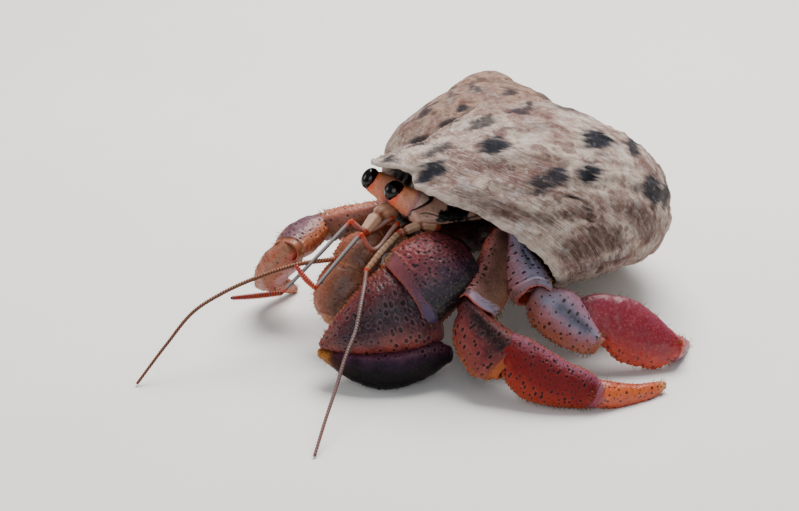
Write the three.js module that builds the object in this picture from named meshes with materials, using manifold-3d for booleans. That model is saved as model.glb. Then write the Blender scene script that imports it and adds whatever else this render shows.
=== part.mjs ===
// A land hermit crab walking in its turban-shaped sea-snail shell.
// Millimetres, +Z up. The crab faces -Y, its left side is +X, and the floor is Z = 0.
import * as THREE from 'three';
import Module from 'manifold-3d';
import { mergeVertices } from 'three/addons/utils/BufferGeometryUtils.js';

// ---------------------------------------------------------------- driving dimensions

// The shell is a tube that grows by the same factor each whorl around a tilted axis.
const SHELL = {
  apex: [-20.70, 38.60, 37.94],      // tip of the spire
  tilt: [-0.0552, -0.6131, -0.9574], // rotation vector of the coiling axis, radians
  radius: 25.76,                     // coiling axis to the middle of the mouth
  drop: 35.03,                       // apex down to the middle of the mouth
  halfWidth: 15.43,                  // half the mouth's width
  stretch: 1.054,                    // mouth height over mouth width
  growth: 2.365,                     // growth per whorl
  lean: 0.169,                       // turn of the section in its plane, radians
  shearUp: 0.266,                    // how the section's upper half leans to the axis
  shearDown: 0.054,
  square: 2.56,                      // superellipse exponent of the section
  shoulder: 0.75,                    // corner that lies against the whorl above
  shoulderAngle: 1.9,
  shoulderWidth: 0.6,
  base: 0.1,                         // fullness of the lower outer part of the section
  baseAngle: -0.9,
  baseWidth: 0.6,
  shoulderFade: 0.8,                 // the shoulder dies out over this much coil at the lip
  lead: 0.627,                       // the upper lip runs this far ahead, radians
  whorls: 2.6,
  wall: 1.7,                         // wall thickness at the mouth
};
const CAVITY_FRONT = 0.3;            // the hollow runs from past the lip,
const CAVITY_BEND = 2.0;             // in two stretches,
const CAVITY_BACK = 3.7;             // this many radians of coil inward
const CAVITY_SHOULDER = 0.5;         // and has this share of the outside's shoulder
const GAP = 0.3;                     // clearance between neighbouring pieces
const CENTRE_SHIFT = [-6.22, -5.43, 0]; // puts the middle of the whole box on the Z axis

// Directions that the broad faces of the limbs look in.
const OUTWARD_LEFT = [0.694, -0.583, 0.423];
const OUTWARD_RIGHT = [-0.73, 0.13, 0.67];
const UP = [0, 0, 1];

// A limb segment is lofted from joint to joint. Each station is
// [place along the segment, half-width on its two edges, half-depth outside and inside].
const LEFT_LEG_2 = {
  coxa: { from: [8.8, 12.5, 19.2], to: [12.4, 12.3, 20.4], face: OUTWARD_LEFT,
    stations: [[0, 2.4, 2.4, 2.2, 2.2], [0.6, 2.6, 2.4, 2.4, 2.4], [1, 2.3, 2.0, 2.2, 2.2]] },
  merus: { from: [12.2, 12.5, 20.6], to: [19.4, -0.9, 13.9], face: OUTWARD_LEFT,
    stations: [[0, 2.6, 1.6, 2.0, 2.0], [0.45, 4.6, 1.3, 2.6, 2.6], [0.75, 6.0, 1.9, 2.9, 2.9],
      [1, 5.4, 2.3, 2.8, 2.8]] },
  carpus: { from: [19.4, -0.9, 13.9], to: [31.1, 0.1, 7.8], face: OUTWARD_LEFT,
    stations: [[0, 1.5, 2.2, 1.8, 2.2], [0.15, 1.4, 5.0, 2.7, 2.8], [0.33, 1.5, 6.4, 3.2, 3.2],
      [0.57, 2.3, 7.3, 3.3, 3.3], [0.82, 2.7, 7.2, 3.0, 3.0], [1, 2.0, 5.2, 2.2, 2.4]] },
  propodus: { from: [29.6, -0.7, 9.1], to: [42.8, 8.7, 2.3], face: OUTWARD_LEFT,
    stations: [[0, 3.2, 3.4, 2.0, 2.2], [0.15, 3.4, 5.2, 2.8, 2.8], [0.35, 3.2, 6.2, 3.1, 2.9],
      [0.6, 2.8, 5.3, 3.1, 2.7], [0.82, 3.0, 3.8, 2.7, 2.3], [1, 2.2, 2.3, 1.9, 1.7]] },
  dactyl: { from: [42.2, 7.6, 2.4], to: [46.0, 21.6, 1.5], face: OUTWARD_LEFT,
    stations: [[0, 2.2, 1.6, 1.7, 1.7], [0.15, 2.4, 2.5, 1.9, 1.8], [0.35, 1.7, 3.0, 1.8, 1.7],
      [0.6, 0.8, 2.8, 1.6, 1.5], [0.82, 0.7, 2.1, 1.2, 1.1], [1, 0.4, 0.8, 0.6, 0.6]] },
};
const LEFT_LEG_3 = {
  coxa: { from: [9.6, 16.1, 19.3], to: [13.0, 15.8, 20.4], face: OUTWARD_LEFT,
    stations: [[0, 2.2, 2.2, 2.0, 2.0], [0.6, 2.4, 2.2, 2.2, 2.2], [1, 1.9, 1.6, 2.0, 2.0]] },
  merus: { from: [13.0, 15.4, 20.8], to: [24.7, 11.0, 14.5], face: OUTWARD_LEFT,
    stations: [[0, 1.2, 1.6, 1.8, 1.8], [0.2, 1.5, 2.3, 2.2, 2.2], [0.45, 2.0, 4.2, 2.6, 2.4],
      [0.7, 2.8, 4.9, 2.7, 2.5], [1, 2.9, 4.5, 2.6, 2.4]] },
  carpus: { from: [24.7, 11.0, 14.5], to: [34.5, 17.1, 6.9], face: OUTWARD_LEFT,
    stations: [[0, 1.6, 3.6, 1.9, 1.9], [0.15, 2.9, 4.9, 2.5, 2.4], [0.33, 3.9, 5.3, 2.7, 2.6],
      [0.55, 3.3, 5.2, 2.6, 2.5], [0.8, 1.8, 4.2, 2.3, 2.2], [1, 0.8, 2.9, 1.6, 1.6]] },
  propodus: { from: [29.2, 14.5, 10.7], to: [40.7, 30.5, 3.7], face: OUTWARD_LEFT,
    stations: [[0, 2.6, 1.6, 1.2, 1.4], [0.15, 4.8, 2.0, 1.9, 1.9], [0.32, 5.6, 3.2, 2.3, 2.2],
      [0.5, 5.8, 5.1, 2.4, 2.3], [0.7, 4.6, 5.2, 2.3, 2.1], [0.87, 2.9, 4.6, 1.9, 1.8],
      [1, 1.5, 2.1, 1.3, 1.3]] },
  dactyl: { from: [40.2, 29.6, 3.3], to: [36.4, 37.6, 0.4], face: [0.9, 0.35, 0.25],
    stations: [[0, 2.2, 2.2, 1.5, 1.5], [0.35, 2.1, 2.1, 1.4, 1.4], [0.7, 1.4, 1.5, 1.0, 1.0],
      [1, 0.5, 0.6, 0.5, 0.5]] },
};
const RIGHT_LEG_2 = {
  coxa: { from: [-5.8, 8.5, 19.4], to: [-9.3, 6.9, 21.0], face: OUTWARD_LEFT,
    stations: [[0, 2.3, 2.3, 2.1, 2.1], [0.6, 2.4, 2.3, 2.2, 2.2], [1, 1.9, 1.9, 2.0, 2.0]] },
  merus: { from: [-9.1, 6.5, 21.2], to: [-18.1, -3.4, 17.6], face: OUTWARD_LEFT,
    stations: [[0, 1.8, 1.5, 1.9, 1.9], [0.35, 2.8, 1.8, 2.4, 2.4], [0.7, 3.6, 2.0, 2.7, 2.7],
      [1, 3.6, 1.9, 2.6, 2.6]] },
  carpus: { from: [-18.1, -3.4, 17.6], to: [-15.3, -13.1, 15.8], face: UP,
    stations: [[0, 1.9, 2.2, 1.8, 2.0], [0.25, 2.6, 3.8, 2.4, 2.8], [0.6, 2.9, 4.6, 2.6, 3.2],
      [1, 2.0, 3.6, 1.9, 2.4]] },
  propodus: { from: [-15.6, -12.4, 16.4], to: [-25.6, -11.2, 4.9], face: OUTWARD_RIGHT,
    stations: [[0, 2.4, 2.2, 1.8, 1.8], [0.2, 3.8, 3.4, 2.5, 2.4], [0.5, 4.3, 4.0, 2.7, 2.5],
      [0.8, 3.4, 3.2, 2.3, 2.2], [1, 2.2, 2.1, 1.7, 1.6]] },
  dactyl: { from: [-25.2, -11.4, 5.6], to: [-26.9, -3.4, 0.4], face: [-0.9, 0.1, 0.4],
    stations: [[0, 2.1, 2.0, 1.6, 1.6], [0.35, 2.0, 2.1, 1.5, 1.5], [0.7, 1.3, 1.6, 1.1, 1.1],
      [1, 0.5, 0.6, 0.5, 0.5]] },
};
const RIGHT_LEG_3 = {
  coxa: { from: [-6.2, 12.7, 18.4], to: [-9.4, 12.8, 18.8], face: UP,
    stations: [[0, 2.1, 2.1, 2.0, 2.0], [0.6, 2.2, 2.2, 2.1, 2.1], [1, 1.8, 1.8, 1.8, 1.8]] },
  merus: { from: [-9.2, 12.6, 18.8], to: [-20.6, 8.2, 13.0], face: UP,
    stations: [[0, 1.5, 1.7, 1.7, 1.7], [0.4, 2.2, 2.2, 2.2, 2.6], [0.75, 2.4, 2.4, 2.4, 3.4],
      [1, 2.3, 2.3, 2.3, 3.2]] },
  carpus: { from: [-20.6, 8.2, 13.0], to: [-28.4, 12.6, 7.2], face: OUTWARD_RIGHT,
    stations: [[0, 2.0, 2.0, 1.8, 2.0], [0.25, 3.6, 3.4, 2.4, 2.5], [0.6, 4.2, 4.0, 2.6, 2.5],
      [1, 2.8, 2.6, 1.8, 1.9]] },
  propodus: { from: [-27.6, 12.2, 7.9], to: [-32.6, 26.4, 3.2], face: OUTWARD_RIGHT,
    stations: [[0, 2.2, 2.2, 1.4, 1.4], [0.2, 3.9, 3.6, 2.0, 2.0], [0.5, 4.6, 4.4, 2.3, 2.2],
      [0.8, 3.6, 3.6, 2.0, 1.9], [1, 2.0, 2.1, 1.4, 1.4]] },
  dactyl: { from: [-32.4, 25.8, 3.3], to: [-29.6, 35.0, 0.4], face: OUTWARD_RIGHT,
    stations: [[0, 1.9, 1.9, 1.4, 1.4], [0.35, 1.8, 1.9, 1.3, 1.3], [0.7, 1.2, 1.4, 1.0, 1.0],
      [1, 0.5, 0.5, 0.5, 0.5]] },
};
const LEFT_CLAW = {
  coxa: { from: [5.8, 6.4, 17.3], to: [8.6, 6.0, 17.6], face: UP,
    stations: [[0, 2.6, 2.6, 2.6, 2.6], [0.6, 2.9, 2.9, 2.8, 2.8], [1, 2.6, 2.6, 2.5, 2.5]] },
  merus: { from: [8.4, 6.2, 17.6], to: [14.2, -0.6, 18.2], face: OUTWARD_LEFT,
    stations: [[0, 2.6, 2.8, 2.6, 2.6], [0.4, 3.9, 4.4, 3.2, 3.2], [0.75, 4.6, 5.6, 3.4, 3.4],
      [1, 4.0, 5.2, 3.0, 3.0]] },
  carpus: { from: [15.0, 3.1, 19.4], to: [12.6, -8.1, 14.9], face: OUTWARD_LEFT,
    stations: [[0, 3.2, 4.6, 2.4, 3.0], [0.2, 4.4, 7.6, 4.2, 4.0], [0.5, 5.4, 8.8, 5.2, 4.4],
      [0.78, 6.3, 8.8, 4.8, 4.2], [1, 5.9, 7.6, 3.4, 3.4]] },
  palm: { from: [13.6, -4.9, 13.0], to: [5.1, -21.9, 7.4], face: OUTWARD_LEFT,
    stations: [[0, 6.6, 5.4, 3.2, 4.0], [0.16, 7.2, 8.6, 5.0, 5.4], [0.36, 6.6, 8.4, 5.8, 6.0],
      [0.58, 5.5, 6.3, 5.2, 5.4], [0.8, 3.9, 3.8, 3.8, 4.0], [0.93, 2.2, 2.0, 2.4, 2.6],
      [1, 1.0, 0.9, 1.3, 1.4]] },
  dactyl: { from: [18.6, -4.7, 5.2], to: [5.2, -22.4, 6.0], face: OUTWARD_LEFT, bow: -1.3,
    stations: [[0, 1.6, 1.6, 2.0, 2.4], [0.1, 2.9, 2.9, 3.4, 3.8], [0.25, 4.1, 2.6, 4.3, 4.8],
      [0.45, 4.9, 2.1, 4.6, 5.2], [0.65, 4.5, 1.5, 4.2, 4.6], [0.85, 2.9, 1.2, 3.0, 3.3],
      [1, 0.8, 0.8, 1.2, 1.3]] },
};
const RIGHT_CLAW = {
  coxa: { from: [-3.2, 4.8, 16.8], to: [-5.8, 3.6, 16.8], face: UP,
    stations: [[0, 2.3, 2.3, 2.3, 2.3], [0.6, 2.5, 2.5, 2.5, 2.5], [1, 2.2, 2.2, 2.2, 2.2]] },
  merus: { from: [-5.6, 3.7, 16.9], to: [-4.4, -2.8, 18.6], face: OUTWARD_LEFT,
    stations: [[0, 2.2, 2.0, 2.0, 2.2], [0.5, 2.6, 2.3, 2.0, 2.5], [1, 2.4, 2.6, 1.9, 2.3]] },
  carpus: { from: [-4.0, -2.6, 19.4], to: [-3.4, -9.7, 14.9], face: OUTWARD_LEFT,
    stations: [[0, 2.0, 2.0, 1.8, 2.0], [0.3, 3.5, 3.4, 2.6, 2.8], [0.7, 4.3, 3.9, 2.9, 3.0],
      [1, 3.6, 3.2, 2.2, 2.4]] },
  palm: { from: [-3.6, -9.0, 15.6], to: [-2.4, -13.9, 6.4], face: OUTWARD_LEFT,
    stations: [[0, 4.0, 3.2, 2.2, 2.4], [0.25, 4.8, 4.3, 3.2, 3.2], [0.55, 4.4, 4.6, 3.2, 3.2],
      [0.85, 3.0, 3.6, 2.4, 2.4], [1, 1.6, 1.8, 1.4, 1.4]] },
  dactyl: { from: [1.2, -7.6, 12.6], to: [-0.9, -13.4, 5.9], face: OUTWARD_LEFT,
    stations: [[0, 1.6, 1.2, 1.8, 1.8], [0.3, 2.2, 1.4, 2.4, 2.4], [0.7, 1.8, 1.2, 2.0, 2.0],
      [1, 0.7, 0.7, 0.9, 0.9]] },
};

// Eyes: [middle of the stalk's foot, middle of the cornea].
const EYES = {
  left: [[-0.2, 5.6, 23.9], [-2.8, 1.1, 27.1]],
  right: [[-7.2, 6.0, 23.9], [-10.1, 1.4, 27.5]],
};
const CORNEA = { along: 1.6, high: 1.8, wide: 1.5 };
const STALK = [[0, 2.3, 2.3, 1.5, 1.5], [0.3, 2.7, 2.6, 1.7, 1.7], [0.7, 2.2, 2.2, 1.5, 1.5],
  [0.98, 1.6, 1.6, 1.3, 1.3]];

// Feelers: each part is a row of points with the radius of the tube at its two ends.
const FEELERS = {
  antenna_base_left: {
    points: [[3.6, 5.6, 21.6], [2.6, 3.6, 22.2], [1.4, -1.2, 21.5]], radii: [0.95, 0.65] },
  antenna_stem_left: {
    points: [[1.4, -1.9, 21.3], [1.9, -5.8, 19.4], [2.6, -9.9, 17.1]], radii: [0.65, 0.55] },
  antenna_whip_left: {
    points: [[3.2, -10.4, 16.8], [7.1, -14.0, 17.3], [10.5, -17.5, 16.2], [13.5, -21.2, 13.3],
      [15.9, -25.4, 10.5], [18.7, -29.9, 6.9], [21.5, -34.3, 3.9], [24.9, -39.3, 0.5]], radii: [0.38, 0.26] },
  antenna_base_right: {
    points: [[-6.4, 3.4, 21.6], [-4.9, -0.5, 22.9], [-3.9, -5.0, 21.0]], radii: [1.7, 0.85] },
  antenna_stem_right: {
    points: [[-3.9, -5.7, 20.5], [-4.2, -8.4, 18.8], [-4.8, -10.8, 17.2]], radii: [0.7, 0.5] },
  antenna_whip_right: {
    points: [[-4.9, -11.3, 16.9], [-8.0, -16.6, 16.7], [-10.6, -24.6, 15.4], [-12.5, -30.9, 13.5],
      [-13.7, -35.5, 11.4], [-14.4, -41.6, 6.2], [-14.9, -47.6, 0.5]], radii: [0.42, 0.26] },
  antennule_base_left: {
    points: [[-1.4, 0.6, 21.8], [-0.5, -6.3, 19.2], [-1.8, -7.5, 22.0]], radii: [0.7, 0.5] },
  antennule_rod_left: {
    points: [[-1.9, -8.0, 22.0], [-2.2, -12.7, 18.1], [-2.5, -17.4, 14.3]], radii: [0.36, 0.32] },
  antennule_tip_left: {
    points: [[-2.8, -17.9, 14.3], [-4.2, -18.5, 16.0], [-5.8, -18.9, 17.6]], radii: [0.5, 0.4] },
  antennule_base_right: {
    points: [[-3.2, 0.8, 22.2], [-3.7, -5.2, 21.3], [-5.1, -7.0, 23.3]], radii: [0.7, 0.5] },
  antennule_rod_right: {
    points: [[-5.3, -7.6, 23.1], [-6.7, -14.1, 17.5], [-8.2, -20.5, 12.2]], radii: [0.36, 0.32] },
  antennule_tip_right: {
    points: [[-8.5, -21.1, 11.8], [-11.1, -24.3, 11.6], [-13.6, -27.6, 11.3]], radii: [0.5, 0.34] },
  maxilliped_left: {
    points: [[2.6, 1.6, 18.8], [3.6, -1.8, 18.2], [3.4, -5.0, 16.2]], radii: [1.2, 0.6] },
  maxilliped_right: {
    points: [[-1.0, 1.6, 18.2], [0.8, -1.6, 17.6], [0.9, -4.8, 15.6]], radii: [1.2, 0.6] },
};

// Trunk, lofted from the head end backwards: the hard shield above, the thorax below it.
const SHIELD = { from: [-0.9, 2.9, 23.4], to: [1.0, 17.0, 22.2], face: UP,
  stations: [[0, 3.8, 3.8, 1.6, 1.2], [0.2, 5.6, 5.6, 2.8, 1.4], [0.5, 6.6, 6.6, 3.5, 1.4],
    [0.8, 6.9, 6.9, 3.6, 1.2], [1, 6.0, 6.0, 2.6, 1.0]] };
const THORAX = { from: [-0.6, 3.6, 19.2], to: [2.2, 21.5, 18.0], face: UP,
  stations: [[0, 3.6, 4.4, 1.7, 2.6], [0.25, 5.2, 6.8, 2.0, 3.8], [0.55, 6.2, 7.8, 2.0, 4.2],
    [0.8, 5.8, 7.0, 2.2, 4.0], [1, 4.6, 5.2, 2.4, 3.2]] };
// The soft abdomen follows the coil inward from the mouth.
const ABDOMEN = { front: 0.6, back: 3.2, fullness: 0.5, steps: 12 };

const END_ROUND = 0.3;               // how far a segment's rounded end reaches, in half-depths
const END_SHRINK = 0.55;             // and how much narrower it is there
const LIMB_SIDES = 8;
const FEELER_SIDES = 6;
const WHIP_STEPS = 18;
const FEELER_STEPS = 5;
const SHELL_SIDES = 18;
const SHELL_STEP = Math.PI / 10;      // coil angle per ring on the last whorl
const SPIRE_STEP = Math.PI / 6;      // and higher up, where the tube is thin

// ---------------------------------------------------------------- solids

const wasm = await Module();
wasm.setup();

const vec = (list) => new THREE.Vector3(...list);

/** A manifold solid from a closed three.js geometry, turned right side out. */
function solidFrom(geometry) {
  const bare = geometry.clone();
  bare.deleteAttribute('normal');
  bare.deleteAttribute('uv');
  const merged = mergeVertices(bare, 1e-4);
  const mesh = new wasm.Mesh({
    numProp: 3,
    vertProperties: new Float32Array(merged.attributes.position.array),
    triVerts: new Uint32Array(merged.index.array),
  });
  return new wasm.Manifold(mesh);
}

/**
 * Reshapes a capped cylinder so that its rings follow ringAt(ring, angle).
 * The cylinder's caps keep their middle points, which go to the middle of the end rings.
 */
function loft(rings, sides, ringAt) {
  const geometry = new THREE.CylinderGeometry(1, 1, rings - 1, sides, rings - 1);
  const position = geometry.attributes.position;
  const middle = (ring) => {
    const sum = new THREE.Vector3();
    for (let i = 0; i < sides; i += 1) sum.add(ringAt(ring, (i / sides) * 2 * Math.PI));
    return sum.divideScalar(sides);
  };
  for (let i = 0; i < position.count; i += 1) {
    const x = position.getX(i);
    const z = position.getZ(i);
    const ring = Math.round(position.getY(i) + (rings - 1) / 2);
    const onAxis = Math.hypot(x, z) < 0.5;
    const step = Math.round((Math.atan2(z, x) / (2 * Math.PI)) * sides);
    const angle = (((step + sides) % sides) / sides) * 2 * Math.PI;
    const point = onAxis ? middle(ring) : ringAt(ring, angle);
    position.setXYZ(i, point.x, point.y, point.z);
  }
  const index = geometry.index.array;
  let volume = 0;
  for (let i = 0; i < index.length; i += 3) {
    const [a, b, c] = [0, 1, 2].map((k) => new THREE.Vector3().fromBufferAttribute(position, index[i + k]));
    volume += a.dot(b.cross(c));
  }
  if (volume < 0) {
    for (let i = 0; i < index.length; i += 3) [index[i + 1], index[i + 2]] = [index[i + 2], index[i + 1]];
  }
  return solidFrom(geometry);
}

/** A limb segment or trunk piece: an egg-shaped section carried along the line from joint to joint. */
function segment({ from, to, face, stations, bow = 0 }, grow = 0) {
  const start = vec(from);
  const axis = vec(to).sub(start);
  const length = axis.length();
  axis.normalize();
  const side = vec(face).cross(axis).normalize();
  const depth = axis.clone().cross(side).normalize();
  const first = stations[0];
  const last = stations[stations.length - 1];
  const before = -(END_ROUND * first[3] + grow) / length;
  const after = 1 + (END_ROUND * last[3] + grow) / length;
  const rings = [
    [before, ...first.slice(1).map((v) => v * END_SHRINK)],
    ...stations,
    [after, ...last.slice(1).map((v) => v * END_SHRINK)],
  ];
  return loft(rings.length, LIMB_SIDES, (ring, angle) => {
    const [place, plus, minus, outer, inner] = rings[ring];
    const across = Math.cos(angle) * ((Math.cos(angle) > 0 ? plus : minus) + grow);
    const deep = Math.sin(angle) * ((Math.sin(angle) > 0 ? outer : inner) + grow);
    const bend = bow * Math.sin(Math.PI * Math.min(Math.max(place, 0), 1));
    return start.clone()
      .addScaledVector(axis, place * length)
      .addScaledVector(side, across - bend)
      .addScaledVector(depth, deep);
  });
}

/** A round tapering tube through a row of points. */
function feeler({ points, radii }, grow = 0) {
  const curve = new THREE.CatmullRomCurve3(points.map(vec), false, 'centripetal');
  const steps = points.length > 4 ? WHIP_STEPS : FEELER_STEPS;
  const frames = curve.computeFrenetFrames(steps, false);
  return loft(steps + 1, FEELER_SIDES, (ring, angle) => {
    const t = ring / steps;
    const radius = THREE.MathUtils.lerp(radii[0], radii[1], t) + grow;
    const endShift = grow * (ring === 0 ? -1 : ring === steps ? 1 : 0);
    return curve.getPointAt(t)
      .addScaledVector(frames.tangents[ring], endShift)
      .addScaledVector(frames.normals[ring], Math.cos(angle) * radius)
      .addScaledVector(frames.binormals[ring], Math.sin(angle) * radius);
  });
}

/** A three-axis ellipsoid along the line from one point to another, centred on the second. */
function ellipsoid(from, centre, size, grow = 0) {
  const axis = vec(centre).sub(vec(from)).normalize();
  const side = vec(OUTWARD_LEFT).cross(axis).normalize();
  const depth = axis.clone().cross(side).normalize();
  const geometry = new THREE.SphereGeometry(1, 10, 7);
  const basis = new THREE.Matrix4().makeBasis(
    side.multiplyScalar(size.high + grow),
    axis.multiplyScalar(size.along + grow),
    depth.multiplyScalar(-(size.wide + grow)),
  );
  geometry.applyMatrix4(basis.setPosition(vec(centre)));
  return solidFrom(geometry);
}

const shellTurn = new THREE.Quaternion()
  .setFromAxisAngle(vec(SHELL.tilt).normalize(), vec(SHELL.tilt).length());

/** A smooth bump of height 1 around one angle of a section. */
function bump(angle, middle, width) {
  const away = THREE.MathUtils.euclideanModulo(angle - middle + Math.PI, 2 * Math.PI) - Math.PI;
  return Math.exp(-((away / width) ** 2));
}

/** The point of the shell's tube at a coil angle (0 is the lip) and an angle around the section. */
function shellPoint(coil, around, shrink = 0, shoulder = SHELL.shoulder) {
  const c = Math.cos(around);
  const s = Math.sin(around);
  const fade = THREE.MathUtils.smoothstep(-coil, 0, SHELL.shoulderFade);
  const bulge = 1 + shoulder * fade * bump(around, SHELL.shoulderAngle, SHELL.shoulderWidth)
    + SHELL.base * bump(around, SHELL.baseAngle, SHELL.baseWidth);
  const round = (Math.abs(c) ** SHELL.square + Math.abs(s) ** SHELL.square) ** (-1 / SHELL.square);
  const reach = round * bulge;
  const up = SHELL.stretch * SHELL.halfWidth * reach * s;
  const shear = SHELL.shearDown * Math.min(up, 0) - SHELL.shearUp * Math.max(up, 0);
  const out = SHELL.halfWidth * reach * c + shear;
  const inset = 1 - shrink / Math.hypot(out, up);
  const outTurned = (out * Math.cos(SHELL.lean) - up * Math.sin(SHELL.lean)) * inset;
  const upTurned = (out * Math.sin(SHELL.lean) + up * Math.cos(SHELL.lean)) * inset;
  const angle = coil + SHELL.lead * s;
  const size = SHELL.growth ** (angle / (2 * Math.PI));
  const rho = size * (SHELL.radius + outTurned);
  const height = size * (upTurned - SHELL.drop);
  return new THREE.Vector3(rho * Math.cos(-angle), rho * Math.sin(-angle), height)
    .applyQuaternion(shellTurn).add(vec(SHELL.apex));
}

/** A stretch of the shell's tube as a closed solid, between two coil angles. */
function shellStretch(front, back, shrink, shoulder, step) {
  const steps = Math.max(1, Math.round((front - back) / step));
  return loft(steps + 1, SHELL_SIDES, (ring, angle) => (
    shellPoint(front + ((back - front) * ring) / steps, -angle, shrink, shoulder)));
}

/** The whole shell: the coils joined together, and the last of them hollow and open at the lip. */
function shellSolid(grow = 0) {
  const end = -SHELL.whorls * 2 * Math.PI;
  const stretch = Math.PI * 0.75;
  let body = null;
  for (let front = 0; front > end + 0.1; front -= stretch) {
    const step = front > -2 * Math.PI ? SHELL_STEP : SPIRE_STEP;
    const piece = shellStretch(front, Math.max(front - stretch, end), -grow, SHELL.shoulder, step);
    body = body ? body.add(piece) : piece;
  }
  const inset = SHELL.wall + grow;
  const shoulder = SHELL.shoulder * CAVITY_SHOULDER;
  const hollow = shellStretch(CAVITY_FRONT, -CAVITY_BEND, inset, shoulder, SPIRE_STEP)
    .add(shellStretch(-CAVITY_BEND, -CAVITY_BACK, inset, shoulder, SPIRE_STEP));
  return body.subtract(hollow);
}

/** The soft abdomen, a thick tube that follows the middle of the hollow. */
function abdomenSolid(grow = 0) {
  const { front, back, fullness, steps } = ABDOMEN;
  const centre = (coil) => shellPoint(coil, 0, 0, 0).lerp(shellPoint(coil, Math.PI, 0, 0), 0.5);
  return loft(steps + 1, LIMB_SIDES, (ring, angle) => {
    const t = ring / steps;
    const coil = -THREE.MathUtils.lerp(front, back, t);
    const swell = fullness * Math.sqrt(Math.sin(Math.PI * (0.12 + 0.86 * t))) * (1 + grow * 0.15);
    return centre(coil).lerp(shellPoint(coil - SHELL.lead * Math.sin(angle), angle, 0, 0), swell);
  });
}

// ---------------------------------------------------------------- materials

const finish = (color, roughness) => ({ color, roughness, metalness: 0 });
const LOOKS = {
  shell: finish('#a2907f', 0.75),
  shield: finish('#c39c85', 0.5),
  belly: finish('#a98772', 0.6),
  stalk: finish('#dc9a7c', 0.45),
  cornea: finish('#1a100e', 0.08),
  tan: finish('#b38d68', 0.5),
  whip: finish('#8d6a45', 0.5),
  rod: finish('#82808f', 0.4),
  orange: finish('#cf5a2c', 0.45),
  purple: finish('#7c4a52', 0.42),
  indigo: finish('#4b3040', 0.4),
  mauve: finish('#96646a', 0.45),
  rose: finish('#9a5f5a', 0.45),
  crimson: finish('#a8303a', 0.38),
  ember: finish('#c65a38', 0.42),
};

// ---------------------------------------------------------------- assembly

const LIMBS = [
  ['cheliped_left', LEFT_CLAW,
    { dactyl: 'indigo', palm: 'purple', carpus: 'purple', merus: 'indigo', coxa: 'tan' }],
  ['cheliped_right', RIGHT_CLAW,
    { dactyl: 'tan', palm: 'tan', carpus: 'tan', merus: 'tan', coxa: 'tan' }],
  ['leg_2_left', LEFT_LEG_2,
    { dactyl: 'ember', propodus: 'crimson', carpus: 'rose', merus: 'mauve', coxa: 'tan' }],
  ['leg_3_left', LEFT_LEG_3,
    { dactyl: 'crimson', propodus: 'crimson', carpus: 'mauve', merus: 'mauve', coxa: 'tan' }],
  ['leg_2_right', RIGHT_LEG_2,
    { dactyl: 'ember', propodus: 'crimson', carpus: 'mauve', merus: 'rose', coxa: 'tan' }],
  ['leg_3_right', RIGHT_LEG_3,
    { dactyl: 'ember', propodus: 'crimson', carpus: 'mauve', merus: 'rose', coxa: 'tan' }],
];

/** Every piece as [name, look, maker]; an earlier piece keeps its shape and cuts the later ones. */
function pieceList() {
  const pieces = [['shell', 'shell', shellSolid]];
  for (const [side, [foot, eye]] of Object.entries(EYES)) {
    pieces.push([`cornea_${side}`, 'cornea', (grow) => ellipsoid(foot, eye, CORNEA, grow)]);
    const stalk = { from: foot, to: eye, face: OUTWARD_LEFT, stations: STALK };
    pieces.push([`eyestalk_${side}`, 'stalk', (grow) => segment(stalk, grow)]);
  }
  pieces.push(['thorax', 'belly', (grow) => segment(THORAX, grow)]);
  pieces.push(['shield', 'shield', (grow) => segment(SHIELD, grow)]);
  const feelerLook = { whip: 'whip', rod: 'rod', tip: 'orange', base: 'tan', stem: 'tan' };
  const feelerOrder = Object.keys(FEELERS).reverse();
  for (const name of feelerOrder) {
    pieces.push([name, feelerLook[name.split('_')[1]] ?? 'tan', (grow) => feeler(FEELERS[name], grow)]);
  }
  for (const [limb, parts, looks] of LIMBS) {
    for (const name of Object.keys(parts).reverse()) {
      pieces.push([`${limb}_${name}`, looks[name], (grow) => segment(parts[name], grow)]);
    }
  }
  pieces.push(['abdomen', 'belly', abdomenSolid]);
  return pieces;
}

/** The largest separate body of a solid. */
function largestBody(solid) {
  const bodies = solid.decompose();
  return bodies.reduce((best, body) => (body.volume() > best.volume() ? body : best));
}

const floorBox = solidFrom(new THREE.BoxGeometry(400, 400, 100).translate(0, 0, -50));
const placed = [];
const group = new THREE.Group();
for (const [name, look, make] of pieceList()) {
  let solid = make(0).subtract(floorBox);
  for (const cutter of placed) {
    const overlap = solid.intersect(cutter);
    if (overlap.volume() > 0) solid = solid.subtract(cutter);
  }
  solid = largestBody(solid);
  placed.push(make(GAP));

  const { vertProperties, triVerts } = solid.getMesh();
  const geometry = new THREE.BufferGeometry();
  geometry.setAttribute('position', new THREE.BufferAttribute(vertProperties, 3));
  geometry.setIndex(new THREE.BufferAttribute(triVerts, 1));
  geometry.computeVertexNormals();
  const mesh = new THREE.Mesh(geometry, new THREE.MeshStandardMaterial(LOOKS[look]));
  mesh.name = name;
  group.add(mesh);
}
group.position.set(...CENTRE_SHIFT);

export default group;
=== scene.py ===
# %% [markdown]
# # A land hermit crab in a turban-shaped snail shell
# This lesson builds the looks of a small animal around a imported CAD frame. The CAD part is plain and
# faceted. Here every limb, eye, feeler and the shell is modelled again as a fine mesh that stays where
# the CAD node is, and each gets a procedural material. We begin with the libraries and the frame, and
# we keep the CAD box.

# %% Load the frame
import itertools
import math

import bmesh
import bpy
import numpy as np
from mathutils import Matrix, Vector


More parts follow.
